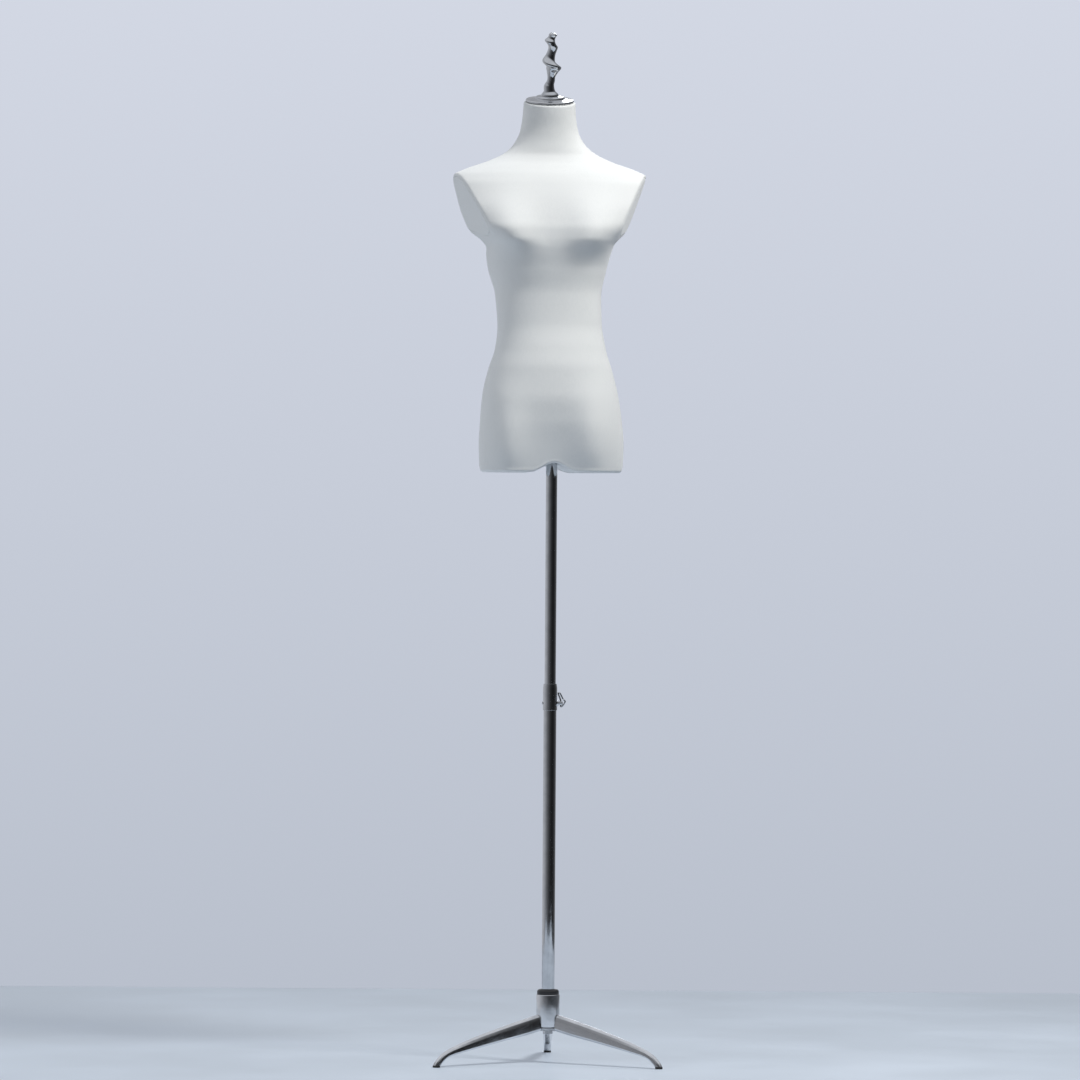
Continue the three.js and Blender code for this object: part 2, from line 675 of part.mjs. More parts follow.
function flangeScrewPlaces() {
  return FLANGE_SCREW_HEADINGS.map((heading) => [
    FLANGE_SCREW_CIRCLE * Math.cos(heading * DEGREE),
    FLANGE_SCREW_CIRCLE * Math.sin(heading * DEGREE),
  ]);
}

function flangeHoles() {
  const radius = FLANGE_SCREW_RADIUS + GAP;
  const top = BOARD_BOTTOM + BOARD_THICKNESS + 2 * FLANGE_THICKNESS;
  return flangeScrewPlaces().map(([x, y]) => rod(radius, 0, top, 12).translate(x, y, 0));
}

function poleSocket() {
  const bottom = BOARD_BOTTOM + BOARD_THICKNESS + GAP;
  const capTop = UPPER_POLE_TOP + GAP + POLE_CAP_HEIGHT - TORSO_BASE;
  const flangeTop = bottom + FLANGE_THICKNESS;
  const body = turned([[SOCKET_BORE, bottom], [FLANGE_RADIUS, bottom], [FLANGE_RADIUS, flangeTop],
    [SOCKET_RADIUS, flangeTop], [SOCKET_RADIUS, capTop + 4], [0, capTop + 4], [0, capTop + GAP],
    [SOCKET_BORE, capTop + GAP], [SOCKET_BORE, bottom]]);
  return cut(body, ...flangeHoles());
}

function flangeScrew([x, y]) {
  const seat = BOARD_BOTTOM + BOARD_THICKNESS + FLANGE_THICKNESS + 2 * GAP;
  const shank = FLANGE_SCREW_RADIUS;
  const profile = [[0, BOARD_BOTTOM + 3], [shank, BOARD_BOTTOM + 4], [shank, seat],
    [2 * shank, seat], [2 * shank - 0.6, seat + 2], [0, seat + 2.6]];
  return turned(profile, 12).translate(x, y, 0);
}

function neckBlock() {
  const clearance = COVER_THICKNESS + GAP + SHELL_WALL + 0.6;
  const whole = cut(torsoShape(clearance), aboveNeck(-GAP));
  const reach = 2 * BLOCK_THICKNESS;
  const bore = rod(STUD_RADIUS + GAP, -reach, reach, 16).rotateX(NECK_TILT * DEGREE)
    .translate(NECK_TOP.x, NECK_TOP.y, NECK_TOP.z);
  return cut(common(whole, aboveNeck(-GAP - BLOCK_THICKNESS)), bore);
}

function buildTorso(torso) {
  part(torso, 'torso_shell', torsoShell(), SHELL_PLASTIC);
  part(torso, 'fabric_cover', fabricCover(), FABRIC);
  [['left', 1], ['right', -1]].forEach(([name, side]) => {
    part(torso, `armhole_plate_${name}`, armholePlate(side), FABRIC);
    part(torso, `thigh_plate_${name}`, thighPlate(side), FABRIC);
  });
  part(torso, 'bottom_board', bottomBoard(), WOOD);
  part(torso, 'pole_socket', poleSocket(), STEEL);
  flangeScrewPlaces().forEach((place, index) => {
    part(torso, `socket_screw_${index + 1}`, flangeScrew(place), STEEL);
  });
  part(torso, 'neck_block', neckBlock(), WOOD);
}

// ---------------------------------------------------------------- neck cap and finial

function neckCap() {
  const bore = STUD_RADIUS + GAP;
  return turned([[bore, 0], [CAP_RADIUS - 1.5, 0], [CAP_RADIUS, 1.4], [CAP_RADIUS, 3.6],
    [CAP_RADIUS - 1.5, 5], [29, 6.6], [27.6, 9.6], [26, 11], [18, 12.4], [bore, CAP_HEIGHT],
    [bore, 0]], 24);
}

// Up the finial: the radius of its core, the height of its twisted ridge, and where the ridge
// points, in degrees from the form's left.
const FINIAL_PROFILE = [
  { h: 0, core: 17.5, ridge: 0, heading: 240 },
  { h: 3, core: 16, ridge: 0, heading: 230 },
  { h: 9, core: 10, ridge: 2.5, heading: 200 },
  { h: 18, core: 7.5, ridge: 5, heading: 160 },
  { h: 34, core: 6, ridge: 3, heading: 20 },
  { h: 46, core: 7.5, ridge: 7.5, heading: 8 },
  { h: 54, core: 9, ridge: 11.5, heading: 0 },
  { h: 60, core: 8, ridge: 10.5, heading: -70 },
  { h: 69, core: 7.5, ridge: 9.5, heading: -180 },
  { h: 82, core: 6.5, ridge: 5.5, heading: -270 },
  { h: 94, core: 6, ridge: 6.5, heading: -360 },
  { h: 101, core: 6, ridge: 5, heading: -450 },
  { h: 108, core: 6.5, ridge: 7, heading: -540 },
  { h: 114, core: 6, ridge: 4, heading: -640 },
  { h: 119, core: 6, ridge: 4.5, heading: -720 },
  { h: FINIAL_HEIGHT, core: 2.5, ridge: 1, heading: -740 },
];
const FINIAL_RIDGE = 1.4;
const FINIAL_ROUND = 10;
const FINIAL_RINGS = 30;

function finialRing(h) {
  const passed = FINIAL_PROFILE.filter((row) => row.h <= h).length;
  const index = Math.min(FINIAL_PROFILE.length - 2, passed - 1);
  const [a, b] = [FINIAL_PROFILE[index], FINIAL_PROFILE[index + 1]];
  const t = (1 - Math.cos(Math.PI * ((h - a.h) / (b.h - a.h)))) / 2;
  const core = a.core + (b.core - a.core) * t;
  const ridge = a.ridge + (b.ridge - a.ridge) * t;
  const phase = (a.heading + (b.heading - a.heading) * t) * DEGREE;
  const ring = [];
  for (let i = 0; i < FINIAL_ROUND; i += 1) {
    const angle = (i / FINIAL_ROUND) * 2 * Math.PI;
    const facing = (1 + Math.cos(angle - phase)) / 2;
    const radius = core + ridge * facing ** FINIAL_RIDGE;
    ring.push(new THREE.Vector3(radius * Math.cos(angle), radius * Math.sin(angle), h));
  }
  return ring;
}

function finialBody() {
  const rings = [];
  const step = FINIAL_HEIGHT / FINIAL_RINGS;
  for (let i = 0; i <= FINIAL_RINGS; i += 1) rings.push(finialRing(i * step));
  return cut(skin(rings), rod(STUD_RADIUS + GAP, -5, STUD_HOLE_DEPTH, 16));
}

function buildNeckTop(neck) {
  const blockBottom = -GAP - BLOCK_THICKNESS;
  const nutTop = blockBottom - 2 * GAP - NUT_WASHER_THICKNESS;
  const nutBottom = nutTop - NUT_HEIGHT;
  const hole = STUD_RADIUS + GAP;
  const nut = cut(rod(NUT_RADIUS, nutBottom, nutTop, 6), rod(hole, nutBottom - 1, nutTop + 1, 16));
  const washerTop = blockBottom - GAP;
  const washer = tube(NUT_WASHER_RADIUS, hole, nutTop + GAP, washerTop);
  const studTop = CAP_HEIGHT + STUD_HOLE_DEPTH - 1;
  part(neck, 'neck_cap', neckCap(), CHROME);
  part(neck, 'finial', finialBody().translate(0, 0, CAP_HEIGHT + GAP), CHROME);
  part(neck, 'finial_stud', rod(STUD_RADIUS, nutBottom - STUD_BELOW_NUT, studTop, 16), STEEL);
  part(neck, 'finial_washer', washer, STEEL);
  part(neck, 'finial_nut', nut, STEEL);
}

// ---------------------------------------------------------------- assembly

function buildForm() {
  const form = new THREE.Group();
  const stand = new THREE.Group();
  const torso = new THREE.Group();
  const neck = new THREE.Group();
  stand.position.y = POLE_Y;
  torso.position.z = TORSO_BASE;
  torso.rotation.z = TORSO_YAW * DEGREE;
  neck.position.copy(NECK_TOP);
  neck.rotation.x = NECK_TILT * DEGREE;
  form.add(stand);
  stand.add(torso);
  torso.add(neck);
  buildBase(stand);
  buildPole(stand);
  buildTorso(torso);
  buildNeckTop(neck);
  return form;
}

export default buildForm();
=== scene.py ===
"""Looks of the dress form mannequin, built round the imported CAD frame."""

import math

import bmesh
import bpy
import numpy as np
from mathutils import Matrix, Vector
from mathutils.kdtree import KDTree


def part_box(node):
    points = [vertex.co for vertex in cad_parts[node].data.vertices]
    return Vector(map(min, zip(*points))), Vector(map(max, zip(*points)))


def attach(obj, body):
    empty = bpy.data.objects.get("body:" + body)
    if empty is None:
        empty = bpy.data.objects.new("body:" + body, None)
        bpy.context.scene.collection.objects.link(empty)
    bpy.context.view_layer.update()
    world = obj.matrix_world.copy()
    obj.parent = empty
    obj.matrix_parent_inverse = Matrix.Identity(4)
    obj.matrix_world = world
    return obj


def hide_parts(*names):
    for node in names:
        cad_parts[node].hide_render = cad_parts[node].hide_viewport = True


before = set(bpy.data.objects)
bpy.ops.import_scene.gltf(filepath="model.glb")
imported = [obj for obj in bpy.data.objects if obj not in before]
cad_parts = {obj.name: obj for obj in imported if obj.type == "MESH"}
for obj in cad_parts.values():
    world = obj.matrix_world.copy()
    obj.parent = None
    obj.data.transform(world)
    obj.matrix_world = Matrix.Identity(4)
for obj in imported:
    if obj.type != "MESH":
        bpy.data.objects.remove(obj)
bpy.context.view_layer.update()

# ---- driving dimensions, in millimetres

MM = 0.001
GAP = 0.3
ROUND = 96

def extent(node):
    """The bottom and the top of a CAD node, in millimetres."""
    low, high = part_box(node)
    return low.z / MM, high.z / MM

# Where things stand comes from the frame.
pole_low, pole_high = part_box("lower_pole")
POLE = (pole_low + pole_high) / 2
TORSO_BASE = extent("thigh_plate_left")[0]
HUB_BOTTOM, HUB_TOP = extent("hub")
COLLAR_BOTTOM, COLLAR_TOP = extent("clamp_collar")
CLAMP_Z = sum(extent("pressure_pad")) / 2

LEG_HEADINGS = {"front_left": -30, "front_right": 210, "rear": 90}
FOOT_RADIUS = 248
PAD_HEIGHT = 3.7
HUB_RADIUS = 22.75
TONGUE_TOP = 90.7
TONGUE_WIDTH = 12
TONGUE_INNER = 8.3
LEG_SCREW_RADIUS = 15
LEG_SCREW_SHANK = 2.2
LEG_SCREW_DEPTH = 11
PAN_RADIUS = 4.5
PAN_HEIGHT = 2.8
CROSS_LENGTH = 5
CROSS_WIDTH = 1
CROSS_DEPTH = 1.9
PAD_RADIUS = 7.2
PLATE_THICKNESS = 4
PLATE_RADIUS = 22
BOLT_CLEARANCE = 5.3
BOLT_RADIUS = 4.9
BOLT_HEAD_RADIUS = 9.5
BOLT_HEAD_HEIGHT = 6.4
WASHER_BORE = 5.4
WASHER_RADIUS = 8.8
WASHER_THICKNESS = 2.2
TRIM_RADIUS = 21.4

LOWER_POLE_RADIUS = 12.5
LOWER_POLE_BORE = 11.3
UPPER_POLE_RADIUS = 11
UPPER_POLE_BORE = 9.8
COLLAR_RADIUS = 13.9
COLLAR_TAPER = 8
COLLAR_LIP = 3.5
BOSS_RADIUS = 6
BOSS_END = 16.5
CLAMP_HOLE = 2.9
RIVET_HOLE = 2.3
RIVET_RADIUS = 2
SCREW_RADIUS = 2.6
SCREW_START = 14
SCREW_HEAD_START = 17
SCREW_HEAD_END = 24.6
SCREW_HEAD_RADIUS = 4
LOOP_X = 20.8
LOOP_WIRE = 1.5

TORSO_YAW = 6
ARMHOLE_CENTRE = Vector((158, 10, 505))
ARMHOLE_SIDE = -5
ARMHOLE_FORWARD = 10
ARMHOLE_DOWN = 21
NECK_TOP = Vector((-10, -12, 722))
NECK_TILT = 13
CAP_RADIUS = 47
CAP_HEIGHT = 12.6
STUD_RADIUS = 4
STUD_HOLE_DEPTH = 14
FINIAL_HEIGHT = 123

# Horizontal sections of the torso: height over the cut thighs, half width, depth before and behind
# the pole's axis, how far the section sits towards the form's left, how far behind the axis it is
# widest, and the superellipse exponent.
SECTIONS = np.array([
    (0, 134, 47, 95, 0, 12, 2.3),
    (10, 140, 50, 99, 0, 12, 2.3),
    (55, 141.5, 64, 108, 0, 12, 2.3),
    (105, 138, 79, 109, -1, 12, 2.3),
    (154, 132, 87, 100, -3, 10, 2.25),
    (200, 121, 86.5, 83, -4, 6, 2.2),
    (240, 108.5, 81, 68, -4, 2, 2.2),
    (290, 102, 74, 63, -6, 2, 2.2),
    (345, 103.5, 76, 74, -8, 14, 2.25),
    (395, 115, 88, 88, -9, 28, 2.4),
    (426, 120.5, 97, 95, -7, 32, 2.8),
    (440, 122, 99, 97, -5, 32, 3.1),
    (453, 131, 99, 99, -5, 30, 3.4),
    (470, 155, 99, 101, -5, 24, 3.3),
    (490, 180, 96, 101, -4, 18, 2.9),
    (525, 206, 88, 99, -4, 16, 2.35),
    (560, 206, 76, 92, -4, 17, 2.1),
    (577, 195, 68, 87, -4, 18, 2),
    (592, 165, 58, 81, -4, 18, 2),
    (607, 122, 48, 74, -5, 17, 2),
    (622, 90, 43, 66, -6, 13, 2),
    (640, 70, 43, 59, -8, 9, 2),
    (665, 57, 46, 53, -9, 4, 2),
    (700, 51.5, 56, 45, -10, -5, 2),
    (745, 49.5, 68, 36, -10, -16, 2),
])
# Soft swellings in front (BUST and THIGH) and behind (BUTTOCK), in mirrored pairs about side.
BUST = {"side": -11, "x": 86, "z": 454, "height": 25, "width": 50, "above": 66, "below": 26}
THIGH = {"side": -11, "x": 90, "z": 45, "height": 26, "width": 44, "above": 90, "below": 75}
BUTTOCK = {"side": 0, "x": 62, "z": 72, "height": 15, "width": 50, "above": 62, "below": 62}
CLEFT = 14

# The notch between the thighs runs from front to back, and falls towards the back.
ARCH_HALF_WIDTH = 46
ARCH_HEIGHT = 18.5
ARCH_FALL = 0.04
POLE_HOLE = 14

COLUMN_COUNT = 180
ROW_STEP = 3.6
EDGE_ROLL = 7
RIM_ROLL = 4.5
COVER_THICKNESS = 0.9
SHELL_INSET = 1.8
SHELL_WALL = 4.5

# Stations along a leg: distance out from the pole, height, slope in degrees, depth and width.
LEG_STATIONS = np.array([
    (14, 81, 14, 32, 21),
    (60, 69.8, 14, 30.5, 21),
    (110, 58, 15, 26.5, 20),
    (160, 45.3, 16, 22, 18.5),
    (200, 34, 17, 16.5, 17),
    (220, 27.4, 22, 13.5, 16),
    (232, 21, 38, 12.5, 15.5),
    (241, 13, 55, 12.5, 15),
    (246, 7.5, 75, 13.5, 15),
    (FOOT_RADIUS, PAD_HEIGHT + GAP, 90, 14, 15),
])

AROUND_POLE = Matrix.Translation((POLE.x, POLE.y, 0))
IN_TORSO = (
    Matrix.Translation((POLE.x, POLE.y, TORSO_BASE * MM))
    @ Matrix.Rotation(math.radians(TORSO_YAW), 4, "Z")
)
ON_NECK = (
    IN_TORSO
    @ Matrix.Translation(NECK_TOP * MM)
    @ Matrix.Rotation(math.radians(NECK_TILT), 4, "X")
)

# ---- camera

CAMERA_DISTANCE = 12.0
CAMERA_HEIGHT = 1.02
CAMERA_SIDE = -0.0218
CAMERA_LENS = 205
CAMERA_SENSOR = 36
CAMERA_FAR = 100
CAMERA_ROLL = -0.4

def make_camera():
    camera = bpy.data.objects.new("camera", bpy.data.cameras.new("camera"))
    camera.data.lens = CAMERA_LENS
    camera.data.sensor_width = CAMERA_SENSOR
    camera.data.clip_end = CAMERA_FAR
    camera.location = (CAMERA_SIDE, POLE.y - CAMERA_DISTANCE, CAMERA_HEIGHT)
    camera.rotation_euler = (math.radians(90), math.radians(CAMERA_ROLL), 0)
    bpy.context.scene.collection.objects.link(camera)
    bpy.context.scene.camera = camera

make_camera()

# ---- mesh helpers

def mesh_object(name, vertices, faces):
    """An object from points in millimetres."""
    mesh = bpy.data.meshes.new(name)
    mesh.from_pydata([tuple(Vector(p) * MM) for p in vertices], [], faces)
    mesh.update()
    made = bpy.data.objects.new(name, mesh)
    bpy.context.scene.collection.objects.link(made)
    return made

def finish_piece(piece, place, body, material, replaced, sharp=35):
    """Puts a piece in place, shades it smooth between sharp edges and ties it to the frame."""
    mesh = piece.data
    mesh.transform(place)
    mesh.shade_smooth()
    mesh.set_sharp_from_angle(angle=math.radians(sharp))
    mesh.materials.clear()
    mesh.materials.append(material)
    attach(piece, body)
    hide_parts(*replaced)

def grid_faces(rows, columns):
    """Faces between rows of points that each close on themselves."""
    faces = []
    for row in range(rows - 1):
        for column in range(columns):
            near = row * columns + column
            beside = row * columns + (column + 1) % columns
            faces.append((near, beside, beside + columns, near + columns))
    return faces

def loft(name, rings):
    """A closed body through rings of equal length, with flat ends."""
    count = len(rings[0])
    points = [point for ring in rings for point in ring]
    faces = grid_faces(len(rings), count)
    last = (len(rings) - 1) * count
    faces.append(tuple(reversed(range(count))))
    faces.append(tuple(last + i for i in range(count)))
    return mesh_object(name, points, faces)

def filleted(corners, closed=False, steps=5):
    """An outline of (a, b, radius) corners, each turned into an arc of that radius."""
    outline = []
    count = len(corners)
    for index, (a, b, radius) in enumerate(corners):
        here = Vector((a, b))
        at_end = not closed and index in (0, count - 1)
        if radius == 0 or at_end:
            outline.append(here)
            continue
        back = Vector(corners[index - 1][:2]) - here
        ahead = Vector(corners[(index + 1) % count][:2]) - here
        half = back.angle(ahead) / 2
        reach = min(radius / math.tan(half), 0.49 * back.length, 0.49 * ahead.length)
        middle = (back.normalized() + ahead.normalized()).normalized()
        centre = here + middle * (reach / math.cos(half))
        start = here + back.normalized() * reach - centre
        end = here + ahead.normalized() * reach - centre
        for step in range(steps + 1):
            outline.append(centre + arc_between(start, end, step / steps))
    return outline

def arc_between(start, end, share):
    angle = start.angle(end)
    if angle < 1e-6:
        return start.copy()
    return (start * math.sin((1 - share) * angle) + end * math.sin(share * angle)) / math.sin(angle)

def lathe(name, corners, segments=ROUND, hollow=False):
    """A body turned about Z from (radius, height, fillet) corners. A hollow one is a ring."""
    outline = filleted(corners, closed=hollow)
    points = []
    for row in outline:
        for i in range(segments):
            turn = 2 * math.pi * i / segments
            points.append((row.x * math.cos(turn), row.x * math.sin(turn), row.y))
    faces = grid_faces(len(outline), segments)
    if hollow:
        last = (len(outline) - 1) * segments
        for i in range(segments):
            beside = (i + 1) % segments
            faces.append((last + i, last + beside, beside, i))
    made = mesh_object(name, points, faces)
    tidy(made)
    return made

def tidy(made):
    """Merges double points, drops faces without area and turns all faces outwards."""
    work = bmesh.new()
    work.from_mesh(made.data)
    bmesh.ops.remove_doubles(work, verts=work.verts, dist=1e-7)
    bmesh.ops.dissolve_degenerate(work, edges=work.edges, dist=1e-8)
    bmesh.ops.recalc_face_normals(work, faces=work.faces)
    work.to_mesh(made.data)
    work.free()

def box(width, depth, height, x, y, z):
    """A cutting or joining block by its size and its middle."""
    spans = ((x, width), (y, depth), (z, height))
    corners = [[centre + side * size / 2 for side in (-1, 1)] for centre, size in spans]
    points = [(a, b, c) for a in corners[0] for b in corners[1] for c in corners[2]]
    faces = [(0, 1, 3, 2), (4, 6, 7, 5), (0, 4, 5, 1), (2, 3, 7, 6), (0, 2, 6, 4), (1, 5, 7, 3)]
    made = mesh_object("tool", points, faces)
    tidy(made)
    return made

def rod(radius, bottom, top, segments=32):
    corners = [(0, bottom, 0), (radius, bottom, 0), (radius, top, 0), (0, top, 0)]
    return lathe("tool", corners, segments)

def along_x(made, z):
    """Turns a body that stands on Z so that it lies along +X at the height z."""
    made.data.transform(Matrix.Translation((0, 0, z * MM)) @ Matrix.Rotation(math.pi / 2, 4, "Y"))
    return made

def moved(made, x, y, z):
    made.data.transform(Matrix.Translation(Vector((x, y, z)) * MM))
    return made

def apply_modifiers(piece):
    graph = bpy.context.evaluated_depsgraph_get()
    mesh = bpy.data.meshes.new_from_object(piece.evaluated_get(graph))
    piece.modifiers.clear()
    piece.data = mesh

def combined(base, tool, operation):
    """The base after a boolean with the tool, which is used up."""
    modifier = base.modifiers.new("combine", "BOOLEAN")
    modifier.operation = operation
    modifier.solver = "EXACT"
    modifier.object = tool
    apply_modifiers(base)
    bpy.data.objects.remove(tool)
    return base

def hermite(t, start, leaving, end, arriving):
    """A cubic from start to end, with the slopes leaving and arriving."""
    return (
        (2 * t**3 - 3 * t**2 + 1) * start + (t**3 - 2 * t**2 + t) * leaving
        + (3 * t**2 - 2 * t**3) * end + (t**3 - t**2) * arriving
    )

def smooth_table(knots, values, at):
    """Monotone cubics through the rows of a table, which never overshoot."""
    spans = np.diff(knots)[:, None]
    rises = np.diff(values, axis=0) / spans
    product = rises[:-1] * rises[1:]
    total = rises[:-1] + rises[1:]
    slopes = np.vstack([
        rises[:1],
        np.where(product > 0, 2 * product / np.where(total == 0, 1, total), 0),
        rises[-1:],
    ])
    at = np.asarray(at, float)
    row = np.clip(np.searchsorted(knots, at, side="right") - 1, 0, len(knots) - 2)
    span = spans[row, 0]
    t = ((at - knots[row]) / span)[..., None]
    span = span[..., None]
    return hermite(t, values[row], span * slopes[row], values[row + 1], span * slopes[row + 1])

# ---- material helpers

def new_material(name, color, roughness, metallic=0.0):
    material = bpy.data.materials.new(name)
    material.use_nodes = True
    shader = material.node_tree.nodes["Principled BSDF"]
    shader.inputs["Base Color"].default_value = (*color, 1)
    shader.inputs["Roughness"].default_value = roughness
    shader.inputs["Metallic"].default_value = metallic
    return material, material.node_tree, shader

def add_node(tree, kind, links=None, **values):
    """A node with its inputs set by name, and linked from the sockets in links."""
    made = tree.nodes.new(kind)
    for name, value in values.items():
        key = name.replace("_", " ").title()
        if key in made.inputs:
            made.inputs[key].default_value = value
        else:
            setattr(made, name, value)
    for name, source in (links or {}).items():
        tree.links.new(source, made.inputs[name])
    return made

def place_of(tree, stretch=(1, 1, 1)):
    """The point on the object, in metres, stretched along its axes."""
    where = add_node(tree, "ShaderNodeTexCoord")
    mapping = add_node(
        tree, "ShaderNodeMapping", {"Vector": where.outputs["Object"]}, scale=stretch,
    )
    return mapping.outputs["Vector"]

def noise(tree, scale, detail=3.0, stretch=(1, 1, 1), roughness=0.55):
    made = add_node(
        tree, "ShaderNodeTexNoise", {"Vector": place_of(tree, stretch)},
        scale=scale, detail=detail, roughness=roughness,
    )
    return made.outputs["Fac"]

def spread(tree, source, low, high, start=0.3, end=0.7):
    """Maps a pattern from start..end to low..high."""
    made = add_node(tree, "ShaderNodeMapRange", {"Value": source})
    for name, value in (("From Min", start), ("From Max", end), ("To Min", low), ("To Max", high)):
        made.inputs[name].default_value = value
    return made.outputs["Result"]

def tones(tree, source, dark, light, start=0.3, end=0.7):
    made = add_node(tree, "ShaderNodeValToRGB", {"Fac": source})
    made.color_ramp.elements[0].position = start
    made.color_ramp.elements[0].color = (*dark, 1)
    made.color_ramp.elements[1].position = end
    made.color_ramp.elements[1].color = (*light, 1)
    return made.outputs["Color"]

def relief(tree, shader, height, strength, depth):
    made = add_node(tree, "ShaderNodeBump", {"Height": height}, strength=strength, distance=depth)
    tree.links.new(made.outputs["Normal"], shader.inputs["Normal"])

def metal(name, dark, light, smooth, rough, smudge_scale, wave_scale, wave_depth):
    """Bare metal: tone and roughness drift in soft smudges, over a faint waviness."""
    material, tree, shader = new_material(name, light, rough, 1.0)
    smudges = noise(tree, smudge_scale, 4.0)
    tree.links.new(tones(tree, smudges, dark, light), shader.inputs["Base Color"])
    tree.links.new(spread(tree, smudges, rough, smooth), shader.inputs["Roughness"])
    relief(tree, shader, noise(tree, wave_scale, 2.0), 0.5, wave_depth)
    return material

def plastic(name, dark, light, smooth, rough, grain_scale, grain_depth):
    """Moulded plastic or rubber: a fine grain and slow drifts of tone."""
    material, tree, shader = new_material(name, light, rough)
    drift = noise(tree, 35, 3.0)
    tree.links.new(tones(tree, drift, dark, light), shader.inputs["Base Color"])
    tree.links.new(spread(tree, drift, smooth, rough), shader.inputs["Roughness"])
    relief(tree, shader, noise(tree, grain_scale, 2.0), 0.6, grain_depth)
    return material

def plywood():
    """Birch plywood: plies in the thickness and a stretched grain on the faces."""
    material, tree, shader = new_material("birch_plywood", (0.62, 0.43, 0.25), 0.6)
    grain = noise(tree, 90, 6.0, (1, 0.08, 1), 0.7)
    plies = add_node(
        tree, "ShaderNodeTexWave", {"Vector": place_of(tree)},
        bands_direction="Z", scale=130.0, distortion=0.6, detail=1.0,
    )
    both = add_node(
        tree, "ShaderNodeMath", {0: grain, 1: plies.outputs["Fac"]}, operation="MULTIPLY_ADD",
    )
    both.inputs[2].default_value = 0.15
    tree.links.new(
        tones(tree, both.outputs["Value"], (0.36, 0.22, 0.11), (0.66, 0.47, 0.28), 0.1, 0.7),
        shader.inputs["Base Color"],
    )
    relief(tree, shader, grain, 0.4, 0.0002)
    return material

WALE = 0.0011
COURSE = 0.0009
WAVE_PERIOD = 0.31416

def jersey():
    """Off-white stretched jersey: fine wales and courses with painted shade in their grooves, a
    soft nap and a slow drift of tone.
    """
    material, tree, shader = new_material("off_white_jersey", (0.83, 0.85, 0.85), 0.9)
    shader.inputs["Sheen Weight"].default_value = 0.25
    shader.inputs["Sheen Roughness"].default_value = 0.5
    shader.inputs["Specular IOR Level"].default_value = 0.25
    where = add_node(tree, "ShaderNodeUVMap", uv_map="knit")
    wales = add_node(
        tree, "ShaderNodeTexWave", {"Vector": where.outputs["UV"]},
        bands_direction="X", scale=WAVE_PERIOD / WALE, distortion=0.4, detail=1.0,
    )
    courses = add_node(
        tree, "ShaderNodeTexWave", {"Vector": where.outputs["UV"]},
        bands_direction="Y", scale=WAVE_PERIOD / COURSE, distortion=0.4, detail=1.0,
    )
    knit = add_node(
        tree, "ShaderNodeMath",
        {0: wales.outputs["Fac"], 1: courses.outputs["Fac"]}, operation="MULTIPLY",
    )
    drift = noise(tree, 9, 3.0)
    slub = noise(tree, 260, 3.0, (1, 1, 0.4))
    shade = add_node(tree, "ShaderNodeMath", {0: drift, 1: slub}, operation="ADD")
    cloth = tones(
        tree, shade.outputs["Value"], (0.795, 0.815, 0.815), (0.86, 0.875, 0.87), 0.8, 1.2,
    )
    # Painted shade: the grooves between wales and courses, low in the bump, are mixed towards a
    # darker grey.
    shaded_grooves = add_node(tree, "ShaderNodeMix", {"Factor": knit.outputs["Value"]}, data_type="RGBA")
    shaded_grooves.inputs[6].default_value = (0.76, 0.785, 0.79, 1)
    tree.links.new(cloth, shaded_grooves.inputs[7])
    tree.links.new(shaded_grooves.outputs[2], shader.inputs["Base Color"])
    relief(tree, shader, knit.outputs["Value"], 0.35, 0.0002)
    return material

CHROME = metal("chrome_plate", (0.56, 0.57, 0.59), (0.66, 0.67, 0.69), 0.05, 0.12, 60, 45, 0.00002)
CASTING = metal(
    "polished_aluminium", (0.66, 0.67, 0.69), (0.79, 0.80, 0.82), 0.12, 0.24, 45, 55, 0.0001,
)
STEEL = metal(
    "zinc_plated_steel", (0.5, 0.51, 0.53), (0.66, 0.67, 0.68), 0.28, 0.42, 120, 300, 0.00005,
)
BRASS = metal("turned_brass", (0.55, 0.4, 0.17), (0.74, 0.56, 0.27), 0.22, 0.36, 150, 400, 0.00003)
BLACK = plastic(
    "black_plastic", (0.012, 0.012, 0.013), (0.024, 0.024, 0.026), 0.3, 0.45, 900, 0.00004,
)
RUBBER = plastic(
    "black_rubber", (0.014, 0.014, 0.014), (0.032, 0.032, 0.032), 0.7, 0.88, 700, 0.0001,
)
NYLON = plastic("natural_nylon", (0.72, 0.72, 0.67), (0.84, 0.84, 0.8), 0.4, 0.55, 500, 0.00004)
MOULDING = plastic("moulded_shell", (0.66, 0.62, 0.53), (0.8, 0.77, 0.69), 0.5, 0.65, 240, 0.0002)
WOOD = plywood()
JERSEY = jersey()

# ---- three-legged base

# Half of a leg's section, from the ridge on top down to the flat underside, as shares of its width
# and depth, with the radius of each edge.
LEG_OUTLINE = (
    (0, 0.5, 1.2), (0.3, 0.36, 1.6), (0.42, 0.12, 1.6), (0.5, -0.36, 2.2), (0.3, -0.5, 2.2),
)
LEG_STEP = 4
HUB_OVERLAP = 4
SLOT_LENGTH = 30

def leg_ring(out, z, slope, depth, width):
    right = [(a * width, u * depth, radius) for a, u, radius in LEG_OUTLINE]
    left = [(-a, u, radius) for a, u, radius in reversed(right[1:])]
    lean = math.radians(slope)
    ring = []
    for across, up in filleted(right + left, closed=True, steps=4):
        ring.append((out + up * math.sin(lean), -across, z + up * math.cos(lean)))
    return ring

